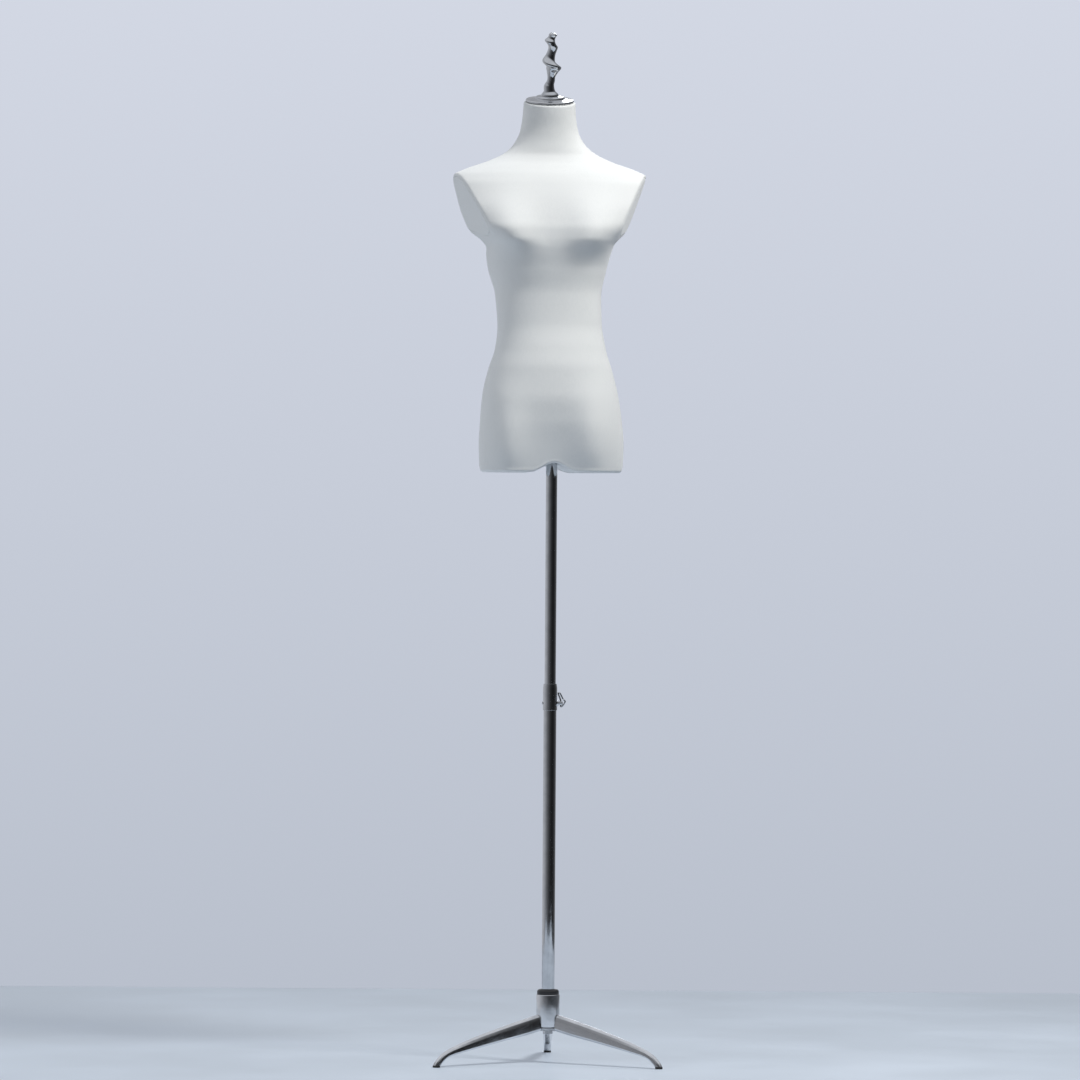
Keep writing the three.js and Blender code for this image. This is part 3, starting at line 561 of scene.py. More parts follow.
def leg_body(name):
    steps = np.hypot(np.diff(LEG_STATIONS[:, 0]), np.diff(LEG_STATIONS[:, 1]))
    knots = np.concatenate([[0], np.cumsum(steps)])
    places = np.linspace(0, knots[-1], int(knots[-1] / LEG_STEP))
    stations = smooth_table(knots, LEG_STATIONS, places)
    bar = loft(name, [leg_ring(*row) for row in stations])
    tidy(bar)
    combined(bar, rod(HUB_RADIUS + GAP, 0, HUB_TOP, ROUND), "DIFFERENCE")
    tongue_end = HUB_RADIUS + HUB_OVERLAP
    length = tongue_end - TONGUE_INNER
    height = TONGUE_TOP - HUB_BOTTOM
    x = (tongue_end + TONGUE_INNER) / 2
    tongue = box(length, TONGUE_WIDTH, height, x, 0, HUB_BOTTOM + height / 2)
    return combined(bar, tongue, "UNION")

def hub_body():
    seat = LOWER_POLE_RADIUS + GAP
    floor = extent("lower_pole")[0] - GAP
    hub = lathe("hub_casting", [
        (BOLT_CLEARANCE, HUB_BOTTOM, 0), (HUB_RADIUS, HUB_BOTTOM, 2.5), (HUB_RADIUS, HUB_TOP, 1.8),
        (seat, HUB_TOP, 0.4), (seat, floor, 0), (BOLT_CLEARANCE, floor, 0),
    ], hollow=True)
    top = TONGUE_TOP + GAP
    height = top - HUB_BOTTOM + 5
    middle = TONGUE_INNER - GAP + SLOT_LENGTH / 2
    for heading in LEG_HEADINGS.values():
        slot = box(SLOT_LENGTH, TONGUE_WIDTH + 2 * GAP, height, middle, 0, top - height / 2)
        slot.data.transform(Matrix.Rotation(math.radians(heading), 4, "Z"))
        combined(hub, slot, "DIFFERENCE")
    return hub

def foot_pad_body(name):
    pad = lathe(name, [
        (0, 0, 0), (PAD_RADIUS, 0, 0.9), (PAD_RADIUS, PAD_HEIGHT, 0.7), (0, PAD_HEIGHT, 0),
    ], 48)
    return moved(pad, FOOT_RADIUS, 0, 0)

def leg_screw_body(name):
    """A pan-head screw with a cross recess, up through the base plate into a leg's tongue."""
    head = HUB_BOTTOM - 2 * GAP - PLATE_THICKNESS
    top = HUB_BOTTOM + LEG_SCREW_DEPTH
    bottom = head - PAN_HEIGHT
    screw = lathe(name, [
        (0, bottom + 0.2, 0), (PAN_RADIUS, bottom, 1.6), (PAN_RADIUS, head, 0.2),
        (LEG_SCREW_SHANK, head, 0), (LEG_SCREW_SHANK, top, 0.5), (0, top, 0),
    ], 32)
    for length, width in ((CROSS_LENGTH, CROSS_WIDTH), (CROSS_WIDTH, CROSS_LENGTH)):
        combined(screw, box(length, width, 2 * CROSS_DEPTH, 0, 0, bottom), "DIFFERENCE")
    return moved(screw, LEG_SCREW_RADIUS, 0, 0)

def hub_ring_body():
    bottom, top = extent("hub_trim_ring")
    inner = LOWER_POLE_RADIUS + GAP
    return lathe("black_hub_ring", [
        (inner, bottom, 0), (TRIM_RADIUS, bottom, 0.5), (TRIM_RADIUS, top - 3.5, 1.5),
        (TRIM_RADIUS - 2.2, top - 0.8, 1.5), (TRIM_RADIUS - 4.9, top, 1), (inner, top, 0.5),
    ], hollow=True)

def base_plate_body(top):
    bottom = top - PLATE_THICKNESS
    return lathe("pressed_base_plate", [
        (BOLT_CLEARANCE, bottom, 0.3), (PLATE_RADIUS, bottom, 1.2), (PLATE_RADIUS, top, 0.4),
        (BOLT_CLEARANCE, top, 0.3),
    ], hollow=True)

def washer_body(top):
    bottom = top - WASHER_THICKNESS
    return lathe("split_washer", [
        (WASHER_BORE, bottom, 0.3), (WASHER_RADIUS, bottom, 0.3), (WASHER_RADIUS, top, 0.3),
        (WASHER_BORE, top, 0.3),
    ], hollow=True)

def bolt_body(seat):
    bottom = seat - BOLT_HEAD_HEIGHT
    top = extent("base_bolt")[1]
    bolt = lathe("hexagon_bolt", [
        (0, bottom, 0), (BOLT_HEAD_RADIUS - 1.1, bottom, 0), (BOLT_HEAD_RADIUS, bottom + 0.8, 0),
        (BOLT_HEAD_RADIUS, seat, 0), (0, seat, 0),
    ], 6)
    shank = lathe("tool", [
        (0, seat - 1, 0), (BOLT_RADIUS, seat - 1, 0), (BOLT_RADIUS, top, 0.8), (0, top, 0),
    ], 32)
    return combined(bolt, shank, "UNION")

def build_base():
    for name, heading in LEG_HEADINGS.items():
        place = AROUND_POLE @ Matrix.Rotation(math.radians(heading), 4, "Z")
        leg = leg_body(f"leg_casting_{name}")
        finish_piece(leg, place, "stand", CASTING, [f"leg_{name}"])
        pad = foot_pad_body(f"rubber_pad_{name}")
        finish_piece(pad, place, "stand", RUBBER, [f"foot_pad_{name}"])
        screw = leg_screw_body(f"pan_screw_{name}")
        finish_piece(screw, place, "stand", STEEL, [f"leg_screw_{name}"])
    finish_piece(hub_body(), AROUND_POLE, "stand", CASTING, ["hub"])
    finish_piece(hub_ring_body(), AROUND_POLE, "stand", BLACK, ["hub_trim_ring"])
    plate_top = HUB_BOTTOM - GAP
    washer_top = plate_top - PLATE_THICKNESS - GAP
    for piece, node in (
        (base_plate_body(plate_top), "base_plate"),
        (washer_body(washer_top), "base_spring_washer"),
        (bolt_body(washer_top - WASHER_THICKNESS - GAP), "base_bolt"),
    ):
        finish_piece(piece, AROUND_POLE, "stand", STEEL, [node])

# ---- pole and height clamp

def tube_body(name, outer, inner, node):
    bottom, top = extent(node)
    return lathe(name, [
        (inner, bottom, 0.3), (outer, bottom, 0.4), (outer, top, 0.4), (inner, top, 0.3),
    ], hollow=True)

def drilled(wall):
    """The wall with the pressure pad's hole on one side and the rivet's hole on the other."""
    combined(wall, along_x(rod(CLAMP_HOLE, 5, 20), CLAMP_Z), "DIFFERENCE")
    return combined(wall, along_x(rod(RIVET_HOLE, -20, -5), CLAMP_Z), "DIFFERENCE")

def collar_body():
    inner = LOWER_POLE_RADIUS + GAP
    lip = LOWER_POLE_BORE + GAP
    collar = lathe("height_collar", [
        (inner, COLLAR_BOTTOM, 0), (COLLAR_RADIUS, COLLAR_BOTTOM, 0.3),
        (COLLAR_RADIUS, COLLAR_TOP - COLLAR_TAPER, 8), (lip + 1.2, COLLAR_TOP, 0.2),
        (lip, COLLAR_TOP, 0.2), (lip, COLLAR_TOP - COLLAR_LIP, 0),
        (inner, COLLAR_TOP - COLLAR_LIP, 0),
    ], hollow=True)
    boss = lathe("tool", [
        (0, inner + 0.5, 0), (BOSS_RADIUS, inner + 0.5, 0), (BOSS_RADIUS, BOSS_END, 0.5),
        (0, BOSS_END, 0),
    ], 48)
    return drilled(combined(collar, along_x(boss, CLAMP_Z), "UNION"))

def rivet_body():
    head = -COLLAR_RADIUS - GAP
    rivet = lathe("collar_pop_rivet", [
        (0, head - 1.4, 0), (2.4, head - 1.2, 1), (3.4, head, 0), (RIVET_RADIUS, head, 0),
        (RIVET_RADIUS, -LOWER_POLE_BORE - GAP, 0), (0, -LOWER_POLE_BORE - GAP, 0),
    ], 32)
    return along_x(rivet, CLAMP_Z)

def screw_body():
    head, end = SCREW_HEAD_START, SCREW_HEAD_END
    radius = SCREW_HEAD_RADIUS
    screw = lathe("height_screw", [
        (0, SCREW_START, 0), (SCREW_RADIUS, SCREW_START, 0), (SCREW_RADIUS, head, 0),
        (radius, head, 0.8), (radius, end - 1, 1.4), (radius - 1.6, end, 0.6), (0, end, 0),
    ], 48)
    eye = moved(rod(LOOP_WIRE + 0.6, CLAMP_Z - 8, CLAMP_Z + 8, 24), LOOP_X, 0, 0)
    return combined(along_x(screw, CLAMP_Z), eye, "DIFFERENCE")

# The wire's middle line in the plane of the pole and the screw, as (x, z).
WIRE_CORNERS = (
    (26, 708.8), (29.2, 705.8), (28.8, 703.2), (23.6, 695.6), (21.4, 695), (LOOP_X, 697),
    (LOOP_X, 706.5), (LOOP_X - 0.9, 709.5), (16.1, 720.2), (16.5, 722.2), (18.5, 721.8),
    (25.2, 709.8),
)
WIRE_STEPS = 8
WIRE_ROUND = 16

def catmull_rom(corners, steps):
    """A centripetal Catmull-Rom curve through plane points, open at both ends."""
    points = [Vector(corner) for corner in corners]
    points = [points[0] * 2 - points[1], *points, points[-1] * 2 - points[-2]]
    curve = []
    for p0, p1, p2, p3 in zip(points, points[1:], points[2:], points[3:]):
        d1, d2, d3 = ((b - a).length ** 0.5 for a, b in ((p0, p1), (p1, p2), (p2, p3)))
        m1 = (p1 - p0) / d1 - (p2 - p0) / (d1 + d2) + (p2 - p1) / d2
        m2 = (p2 - p1) / d2 - (p3 - p1) / (d2 + d3) + (p3 - p2) / d3
        for step in range(steps):
            curve.append(hermite(step / steps, p1, d2 * m1, p2, d2 * m2))
    return [*curve, points[-2]]

def wire_body():
    line = catmull_rom(WIRE_CORNERS, WIRE_STEPS)
    rings = []
    for index, point in enumerate(line):
        ahead = line[min(index + 1, len(line) - 1)] - line[max(index - 1, 0)]
        side = Vector((ahead.y, -ahead.x)).normalized()
        ring = []
        for i in range(WIRE_ROUND):
            turn = 2 * math.pi * i / WIRE_ROUND
            reach = point + side * LOOP_WIRE * math.cos(turn)
            ring.append((reach.x, LOOP_WIRE * math.sin(turn), reach.y))
        rings.append(ring)
    wire = loft("bent_wire_loop", rings)
    tidy(wire)
    return wire

def build_pole():
    lower = tube_body("chrome_tube_lower", LOWER_POLE_RADIUS, LOWER_POLE_BORE, "lower_pole")
    drilled(lower)
    upper = tube_body("chrome_tube_upper", UPPER_POLE_RADIUS, UPPER_POLE_BORE, "upper_pole")
    finish_piece(lower, AROUND_POLE, "stand", CHROME, ["lower_pole"])
    finish_piece(upper, AROUND_POLE, "upper_pole", CHROME, ["upper_pole"])
    finish_piece(collar_body(), AROUND_POLE, "stand", CHROME, ["clamp_collar"])
    finish_piece(rivet_body(), AROUND_POLE, "stand", STEEL, ["collar_rivet"])
    finish_piece(screw_body(), AROUND_POLE, "clamp_screw", CHROME, ["clamp_screw"])
    finish_piece(wire_body(), AROUND_POLE, "wire_loop", CHROME, ["wire_loop"])

# ---- torso surface

def signed_power(value, exponent):
    return np.sign(value) * np.abs(value) ** exponent

def bump(shape, x, z):
    """Height of a mirrored pair of swellings, which fall off smoothly on all sides."""
    across = (np.hypot(x - shape["side"], CLEFT) - shape["x"]) / shape["width"]
    up = (z - shape["z"]) / np.where(z > shape["z"], shape["above"], shape["below"])
    return shape["height"] * np.exp(-(across**2) - up**2)

def torso_point(angle, z):
    """Points of the torso's outer surface. Angle 0 is the form's left side, 90 degrees its back."""
    angle, z = np.broadcast_arrays(angle, np.asarray(z, float))
    section = smooth_table(SECTIONS[:, 0], SECTIONS[:, 1:], z)
    half, front, back, side, mid, square = np.moveaxis(section, -1, 0)
    across = signed_power(np.cos(angle), 2 / square)
    along = signed_power(np.sin(angle), 2 / square)
    x = half * across
    swell = bump(BUST, x, z) + bump(THIGH, x, z)
    before = mid + (front + mid) * along - swell * np.sqrt(np.maximum(-along, 0))
    behind = mid + (back - mid) * along + bump(BUTTOCK, x, z) * np.sqrt(np.maximum(along, 0))
    return np.stack([x + side, np.where(along < 0, before, behind), z], axis=-1)

def torso_normal(angle, z):
    """Outward unit normals, from neighbouring points of the surface."""
    turn, rise = 0.02, 1.5
    around = torso_point(angle + turn, z) - torso_point(angle - turn, z)
    higher = torso_point(angle, np.minimum(z + rise, SECTIONS[-1, 0]))
    up = higher - torso_point(angle, np.maximum(z - rise, 0))
    normal = np.cross(around, up)
    return normal / np.linalg.norm(normal, axis=-1, keepdims=True)

def arch_height(x, y):
    """Height of the notch between the thighs."""
    share = np.clip(np.abs(x) / ARCH_HALF_WIDTH, 0, 1)
    return (ARCH_HEIGHT - ARCH_FALL * y) * np.cos(share * np.pi / 2) ** 2

# The seams run up both sides and the back. Their offsets and widths are in radians.
SEAM_ANGLES = (0, math.pi / 2, math.pi)
SEAM_COLUMNS = (-0.012, -0.005, 0, 0.005, 0.012)
SEAM_CLEAR = 0.008
SEAM_DEPTH = 0.5
GROOVE_WIDTH = 0.004
RIDGE_PLACE = 0.013
RIDGE_WIDTH = 0.007
RIDGE_SHARE = 0.4
ARCH_LEVEL = 6
ARCH_FADE = 110

def column_angles():
    """Even columns, with closer ones on both sides of each seam."""
    even = [2 * math.pi * (i + 0.5) / COLUMN_COUNT for i in range(COLUMN_COUNT)]
    close = [seam + offset for seam in SEAM_ANGLES for offset in SEAM_COLUMNS]
    kept = [a for a in even if min(abs(a - c) for c in close) > SEAM_CLEAR]
    return np.sort(np.array(kept + close) % (2 * math.pi))

def side_rings(columns, inset, bottom, seam_depth):
    """The torso's side from its bottom edge to over the neck, as rows of points."""
    floor = torso_point(columns, np.full(len(columns), float(ARCH_LEVEL)))
    lift = arch_height(floor[:, 0], floor[:, 1])
    depth = (inset + seam_depth * seam_shape(columns))[:, None]
    rows = []
    top = SECTIONS[-1, 0]
    for level in np.linspace(bottom, top, int((top - bottom) / ROW_STEP)):
        z = level + lift * max(0, 1 - level / ARCH_FADE) ** 2
        rows.append(torso_point(columns, z) - torso_normal(columns, z) * depth)
    return np.array(rows)

def seam_shape(columns):
    """1 in the groove of a seam, and a little below 0 on the raised edges beside it."""
    depth = np.zeros(len(columns))
    for seam in SEAM_ANGLES:
        away = np.abs((columns - seam + math.pi) % (2 * math.pi) - math.pi)
        depth += np.exp(-((away / GROOVE_WIDTH) ** 2))
        depth -= RIDGE_SHARE * np.exp(-(((away - RIDGE_PLACE) / RIDGE_WIDTH) ** 2))
    return depth

def armhole_plane(side):
    """A point of an armhole's plane and its outward normal, for the side 1 (left) or -1."""
    down, forward = math.radians(ARMHOLE_DOWN), math.radians(ARMHOLE_FORWARD)
    normal = Vector((
        side * math.cos(down) * math.cos(forward),
        -math.cos(down) * math.sin(forward),
        -math.sin(down),
    ))
    x = side * ARMHOLE_CENTRE.x + ARMHOLE_SIDE
    return Vector((x, ARMHOLE_CENTRE.y, ARMHOLE_CENTRE.z)), normal

def neck_plane():
    tilt = math.radians(NECK_TILT)
    return NECK_TOP.copy(), Vector((0, -math.sin(tilt), math.cos(tilt)))

# Below these heights the planes of the armholes and the neck cut nothing away.
ARMPIT = 436
NECK_FOOT = NECK_TOP.z - 60
MERGE_DISTANCE = 0.6
STEEPEST = 0.4
ROLL_STEPS = 6
ARM_TUCK = 3.5
NECK_TUCK = 2.5

def cut_beyond(work, centre, normal, offset, above):
    """Cuts off what lies beyond a plane, among the faces above a height. Returns the cut's loop."""
    faces = [face for face in work.faces if face.calc_center_median().z > above * MM]
    edges = {edge for face in faces for edge in face.edges}
    points = {point for face in faces for point in face.verts}
    found = bmesh.ops.bisect_plane(
        work, geom=[*faces, *edges, *points], dist=1e-7,
        plane_co=(centre + normal * offset) * MM, plane_no=normal, clear_outer=True,
    )
    rim = [part for part in found["geom_cut"] if isinstance(part, bmesh.types.BMVert)]
    bmesh.ops.remove_doubles(work, verts=rim, dist=MERGE_DISTANCE * MM)
    return ordered_loop({point for point in rim if point.is_valid})

def ordered_loop(points):
    """The points of a closed boundary, in order."""
    first = min(points, key=lambda point: tuple(point.co))
    loop, here, before = [], first, None
    while here is not None and (here is not first or not loop):
        loop.append(here)
        ahead = [
            edge.other_vert(here) for edge in here.link_edges
            if edge.is_boundary and edge.other_vert(here) in points
        ]
        following = [point for point in ahead if point is not before]
        before, here = here, following[0] if following else None
    return loop

def smooth_tangents(line, reach):
    """Unit tangents of a closed line of points, smoothed over reach steps each way."""
    total = np.zeros_like(line)
    for step in range(1, reach + 1):
        total += np.roll(line, -step, axis=0) - np.roll(line, step, axis=0)
    return total / np.linalg.norm(total, axis=1, keepdims=True)

def roll_edge(work, loop, centre, normal, radius, tuck):
    """Rolls an open edge onto a plane and tucks it in. Returns the edge of what is left flat."""
    line = np.array([point.co for point in loop]) / MM
    normal = np.array(normal)
    tangent = smooth_tangents(line, 4)
    surface = np.array([point.normal for point in loop])
    arriving = np.cross(tangent, surface)
    arriving *= np.sign(arriving @ normal)[:, None]
    arriving /= np.linalg.norm(arriving, axis=1, keepdims=True)
    inward = np.cross(tangent, normal)
    inward /= np.linalg.norm(inward, axis=1, keepdims=True)
    middle = line.mean(axis=0)
    if np.sum((middle - line) * inward) < 0:
        inward = -inward
    gap = (np.array(centre) - line) @ normal
    corner = line + arriving * (gap / np.maximum(arriving @ normal, STEEPEST))[:, None]
    corner += normal * ((np.array(centre) - corner) @ normal)[:, None]
    flat = corner + inward * radius
    rings = []
    for share in np.linspace(0, 1, ROLL_STEPS + 1)[1:]:
        rings.append((1 - share) ** 2 * line + 2 * share * (1 - share) * corner + share**2 * flat)
    rings.append(flat + inward * 0.6 - normal * 0.4)
    rings.append(flat + inward * 0.9 - normal * tuck)
    previous = loop
    for ring in rings:
        current = [work.verts.new(Vector(point) * MM) for point in ring]
        for i in range(len(loop)):
            beside = (i + 1) % len(loop)
            work.faces.new((previous[i], previous[beside], current[beside], current[i]))
        previous = current
    return flat + inward * 0.5

def facing_out(work):
    """Makes the faces agree, and face away from the torso's axis."""
    bmesh.ops.recalc_face_normals(work, faces=work.faces)
    outwards = sum(
        face.normal.dot(Vector((*face.calc_center_median().xy, 0))) * face.calc_area()
        for face in work.faces
    )
    if outwards < 0:
        bmesh.ops.reverse_faces(work, faces=work.faces)

KNIT_RADIUS = 0.115

def knit_uvs(mesh):
    """Wales run up the torso and courses round it, in metres, so the cloth stretches with it."""
    levels = SECTIONS[:, 0]
    girth = SECTIONS[:, 1:4].mean(axis=1)
    climbed = np.concatenate([[0], np.cumsum(np.hypot(np.diff(levels), np.diff(girth)))])
    layer = mesh.uv_layers.new(name="knit")
    for face in mesh.polygons:
        values = []
        for index in face.vertices:
            x, y, z = mesh.vertices[index].co / MM
            turn = math.atan2(x, -y) * KNIT_RADIUS
            values.append([turn, float(np.interp(z, levels, climbed)) * MM])
        largest = max(value[0] for value in values)
        for value in values:
            if largest - value[0] > math.pi * KNIT_RADIUS:
                value[0] += 2 * math.pi * KNIT_RADIUS
        for loop, value in zip(face.loop_indices, values):
            layer.data[loop].uv = value

def thicken(piece, thickness):
    """Gives a cloth or a shell its thickness, inwards."""
    modifier = piece.modifiers.new("thickness", "SOLIDIFY")
    modifier.thickness = thickness * MM
    modifier.offset = -1
    apply_modifiers(piece)

# ---- cloth pieces of the torso

EDGE_TURNS = (15, 30, 45, 60, 75, 90)

def bottom_edge(columns, base):
    """Rings that roll the cloth round the bottom edge and into the seam under the thighs."""
    normal = torso_normal(columns, base[:, 2])
    inward = -normal * [1, 1, 0]
    inward /= np.linalg.norm(inward, axis=1, keepdims=True)
    rings = []
    for turn in np.radians(EDGE_TURNS):
        drop = np.array([0, 0, EDGE_ROLL * math.sin(turn)])
        rings.append(base + inward * EDGE_ROLL * (1 - math.cos(turn)) - drop)
    rings.append(base + inward * (EDGE_ROLL + 0.8) - [0, 0, EDGE_ROLL - 0.4])
    rings.append(base + inward * (EDGE_ROLL + 1.2) - [0, 0, EDGE_ROLL - 2.4])
    return rings, base + inward * (EDGE_ROLL + 1)

def cover_body(columns):
    """The cover's outer face, open at the armholes and the neck. Also returns the flats."""
    rows = side_rings(columns, 0, EDGE_ROLL, SEAM_DEPTH)
    under, flat_edge = bottom_edge(columns, rows[0])
    rings = [*reversed(under), *rows]
    faces = grid_faces(len(rings), len(columns))
    cover = mesh_object("stretched_cover", np.concatenate(rings), faces)
    work = bmesh.new()
    work.from_mesh(cover.data)
    facing_out(work)
    flats = {}
    for side, name in ((1, "left"), (-1, "right")):
        centre, normal = armhole_plane(side)
        loop = cut_beyond(work, centre, normal, -RIM_ROLL, ARMPIT)
        work.normal_update()
        flats[name] = roll_edge(work, loop, centre, normal, RIM_ROLL, ARM_TUCK)
    centre, normal = neck_plane()
    loop = cut_beyond(work, centre, normal, -RIM_ROLL, NECK_FOOT)
    work.normal_update()
    roll_edge(work, loop, centre - normal * GAP, normal, RIM_ROLL, NECK_TUCK)
    facing_out(work)
    work.to_mesh(cover.data)
    work.free()
    return cover, flats, flat_edge

# How a cloth-covered board swells inside its edge, and is drawn in along it.
DISC_RINGS = 18
DISC_SPACING = 1.6
DISC_SMOOTHING = 12
DISC_CROWN = 1.2
DISC_SWELL = 2.2
DISC_DRAW = 1.2
DISC_DRAW_WIDTH = 1.4
DISC_TUCK = 2.6

def flat_disc(name, edge, normal):
    """A cloth-covered board: crowned over its edge, and drawn in at the seam round it."""
    normal = np.array(normal)
    middle = edge.mean(axis=0)
    points = [edge - normal * DISC_TUCK]
    line = edge
    for share in (1 - (np.arange(DISC_RINGS) / DISC_RINGS) ** DISC_SPACING)[:-1]:
        ring = middle + (line - middle) * share
        inside = np.linalg.norm(edge - ring, axis=1)
        for _ in range(DISC_SMOOTHING):
            line = (np.roll(line, 1, axis=0) + line + np.roll(line, -1, axis=0)) / 3
        rise = DISC_CROWN * (1 - np.exp(-inside / DISC_SWELL))
        rise -= DISC_DRAW * np.exp(-inside / DISC_DRAW_WIDTH)
        points.append(ring + normal * rise[:, None])
    flat = np.concatenate([*points, [middle + normal * DISC_CROWN]])
    count = len(edge)
    faces = grid_faces(len(points), count)
    last = (len(points) - 1) * count
    for i in range(count):
        faces.append((last + i, last + (i + 1) % count, last + count))
    return mesh_object(name, flat, faces)

def turn_to(piece, normal):
    """Makes the faces of an open piece look along a direction."""
    work = bmesh.new()
    work.from_mesh(piece.data)
    bmesh.ops.recalc_face_normals(work, faces=work.faces)
    if sum(face.normal.dot(normal) * face.calc_area() for face in work.faces) < 0:
        bmesh.ops.reverse_faces(work, faces=work.faces)
    work.to_mesh(piece.data)
    work.free()

UNDER_RINGS = 26
UNDER_LIFT = 0.8
UNDER_TUCK = 2
POLE_TUCK = 4

def under_side(edge):
    """The torso's underside, from its edge in to the hole for the pole, as one piece."""
    heading = np.arctan2(edge[:, 1], edge[:, 0])
    hole = np.stack([np.cos(heading), np.sin(heading)], axis=1) * POLE_HOLE
    rings = []
    for share in np.linspace(0, 1, UNDER_RINGS):
        flat = edge[:, :2] * (1 - share) + hole * share
        rings.append(np.column_stack([flat, arch_height(flat[:, 0], flat[:, 1]) + UNDER_LIFT]))
    rings[0][:, 2] += UNDER_TUCK
    rings.append(rings[-1] + [0, 0, POLE_TUCK])
    return mesh_object("underside", np.concatenate(rings), grid_faces(len(rings), len(edge)))

def keep_between(piece, name, low, high):
    """A copy of a piece cut to low < x < high."""
    work = bmesh.new()
    work.from_mesh(piece.data)
    for limit, direction in ((low, -1), (high, 1)):
        bmesh.ops.bisect_plane(
            work, geom=[*work.verts, *work.edges, *work.faces], dist=1e-7,
            plane_co=(limit * MM, 0, 0), plane_no=(direction, 0, 0), clear_outer=True,
        )
    mesh = bpy.data.meshes.new(name)
    work.to_mesh(mesh)
    work.free()
    made = bpy.data.objects.new(name, mesh)
    bpy.context.scene.collection.objects.link(made)
    return made

THIGH_CROWN = 0.7
THIGH_SWELL = 2.5
THIGH_DRAW = 1.6
THIGH_DRAW_WIDTH = 1.6

def crown_down(piece):
    """Swells a thigh board downwards, no lower than the torso's base, and draws in its edge."""
    mesh = piece.data
    work = bmesh.new()
    work.from_mesh(mesh)
    rim = [point for point in work.verts if any(edge.is_boundary for edge in point.link_edges)]
    tree = KDTree(len(rim))
    for index, point in enumerate(rim):
        tree.insert(point.co, index)
    tree.balance()
    inside = {point: tree.find(point.co)[2] / MM for point in work.verts}
    for point, distance in inside.items():
        rise = THIGH_CROWN * (1 - math.exp(-distance / THIGH_SWELL))
        rise -= THIGH_DRAW * math.exp(-distance / THIGH_DRAW_WIDTH)
        point.co.z = max(point.co.z - rise * MM, 0)
    work.to_mesh(mesh)
    work.free()

def joined(base, other):
    """Adds another object's mesh to the base, and removes the other."""
    work = bmesh.new()
    work.from_mesh(base.data)
    work.from_mesh(other.data)
    work.to_mesh(base.data)
    work.free()
    bpy.data.objects.remove(other)

CLOTH_SHARP = 50

def cloth_piece(piece, node):
    """Gives a skin its thickness, its knit and its place on the torso."""
    thicken(piece, COVER_THICKNESS)
    knit_uvs(piece.data)
    finish_piece(piece, IN_TORSO, "torso", JERSEY, [node], CLOTH_SHARP)

SHELL_BEHIND_BOARD = 4
SHELL_BELOW_NECK = 3

def shell_body(columns):
    """The moulded shell under the cover, open at the armholes, the neck and the thighs."""
    rows = side_rings(columns, SHELL_INSET, EDGE_ROLL, 0)
    faces = grid_faces(len(rows), len(columns))
    shell = mesh_object("moulded_torso", np.concatenate(rows), faces)
    work = bmesh.new()
    work.from_mesh(shell.data)
    facing_out(work)
    for side in (1, -1):
        centre, normal = armhole_plane(side)
        cut_beyond(work, centre, normal, -SHELL_BEHIND_BOARD, ARMPIT)
    centre, normal = neck_plane()
    cut_beyond(work, centre, normal, -SHELL_BELOW_NECK, NECK_FOOT)
    facing_out(work)
    work.to_mesh(shell.data)
    work.free()
    thicken(shell, SHELL_WALL)
    return shell

CROTCH_SHARE = 0.92
CROTCH_SEAM = 0.4
FAR = 400

def build_torso():
    columns = column_angles()
    cover, flats, flat_edge = cover_body(columns)
    underside = under_side(flat_edge)
    turn_to(underside, Vector((0, 0, -1)))
    seam = ARCH_HALF_WIDTH * CROTCH_SHARE
    beyond = seam + CROTCH_SEAM
    for name, low, high in (("left", beyond, FAR), ("right", -FAR, -beyond)):
        board = keep_between(underside, f"thigh_cloth_{name}", low, high)
        crown_down(board)
        cloth_piece(board, f"thigh_plate_{name}")
    joined(cover, keep_between(underside, "crotch", -seam, seam))
    bpy.data.objects.remove(underside)
    cloth_piece(cover, "fabric_cover")
    for name, side in (("left", 1), ("right", -1)):
        normal = armhole_plane(side)[1]
        board = flat_disc(f"armhole_cloth_{name}", flats[name], normal)
        turn_to(board, normal)
        cloth_piece(board, f"armhole_plate_{name}")
    shell = shell_body(columns[::2])
    finish_piece(shell, IN_TORSO, "torso", MOULDING, ["torso_shell"])

# ---- neck cap and finial

# Up the finial: height, core radius, height of the twisted ridge, and where the ridge points.
FINIAL_PROFILE = (
    (0, 17.5, 0, 240),
    (3, 16, 0, 230),
    (9, 10, 2.5, 200),
    (18, 7.5, 5, 160),
    (34, 6, 3, 20),
    (46, 7.5, 7.5, 8),
    (54, 9, 11.5, 0),
    (60, 8, 10.5, -70),
    (69, 7.5, 9.5, -180),
    (82, 6.5, 5.5, -270),
    (94, 6, 6.5, -360),
    (101, 6, 5, -450),
    (108, 6.5, 7, -540),
    (114, 6, 4, -640),
    (119, 6, 4.5, -720),
    (FINIAL_HEIGHT, 2.5, 1, -740),
)
FINIAL_RIDGE = 1.4
FINIAL_ROUND = 72
FINIAL_RINGS = 180
FINIAL_SHARP = 60

def finial_ring(h):
    profile = np.array(FINIAL_PROFILE)
    core, ridge, heading = smooth_table(profile[:, 0], profile[:, 1:], h)
    phase = math.radians(heading)
    ring = []
    for i in range(FINIAL_ROUND):
        angle = 2 * math.pi * i / FINIAL_ROUND
        radius = core + ridge * ((1 + math.cos(angle - phase)) / 2) ** FINIAL_RIDGE
        ring.append((radius * math.cos(angle), radius * math.sin(angle), h + CAP_HEIGHT + GAP))
    return ring

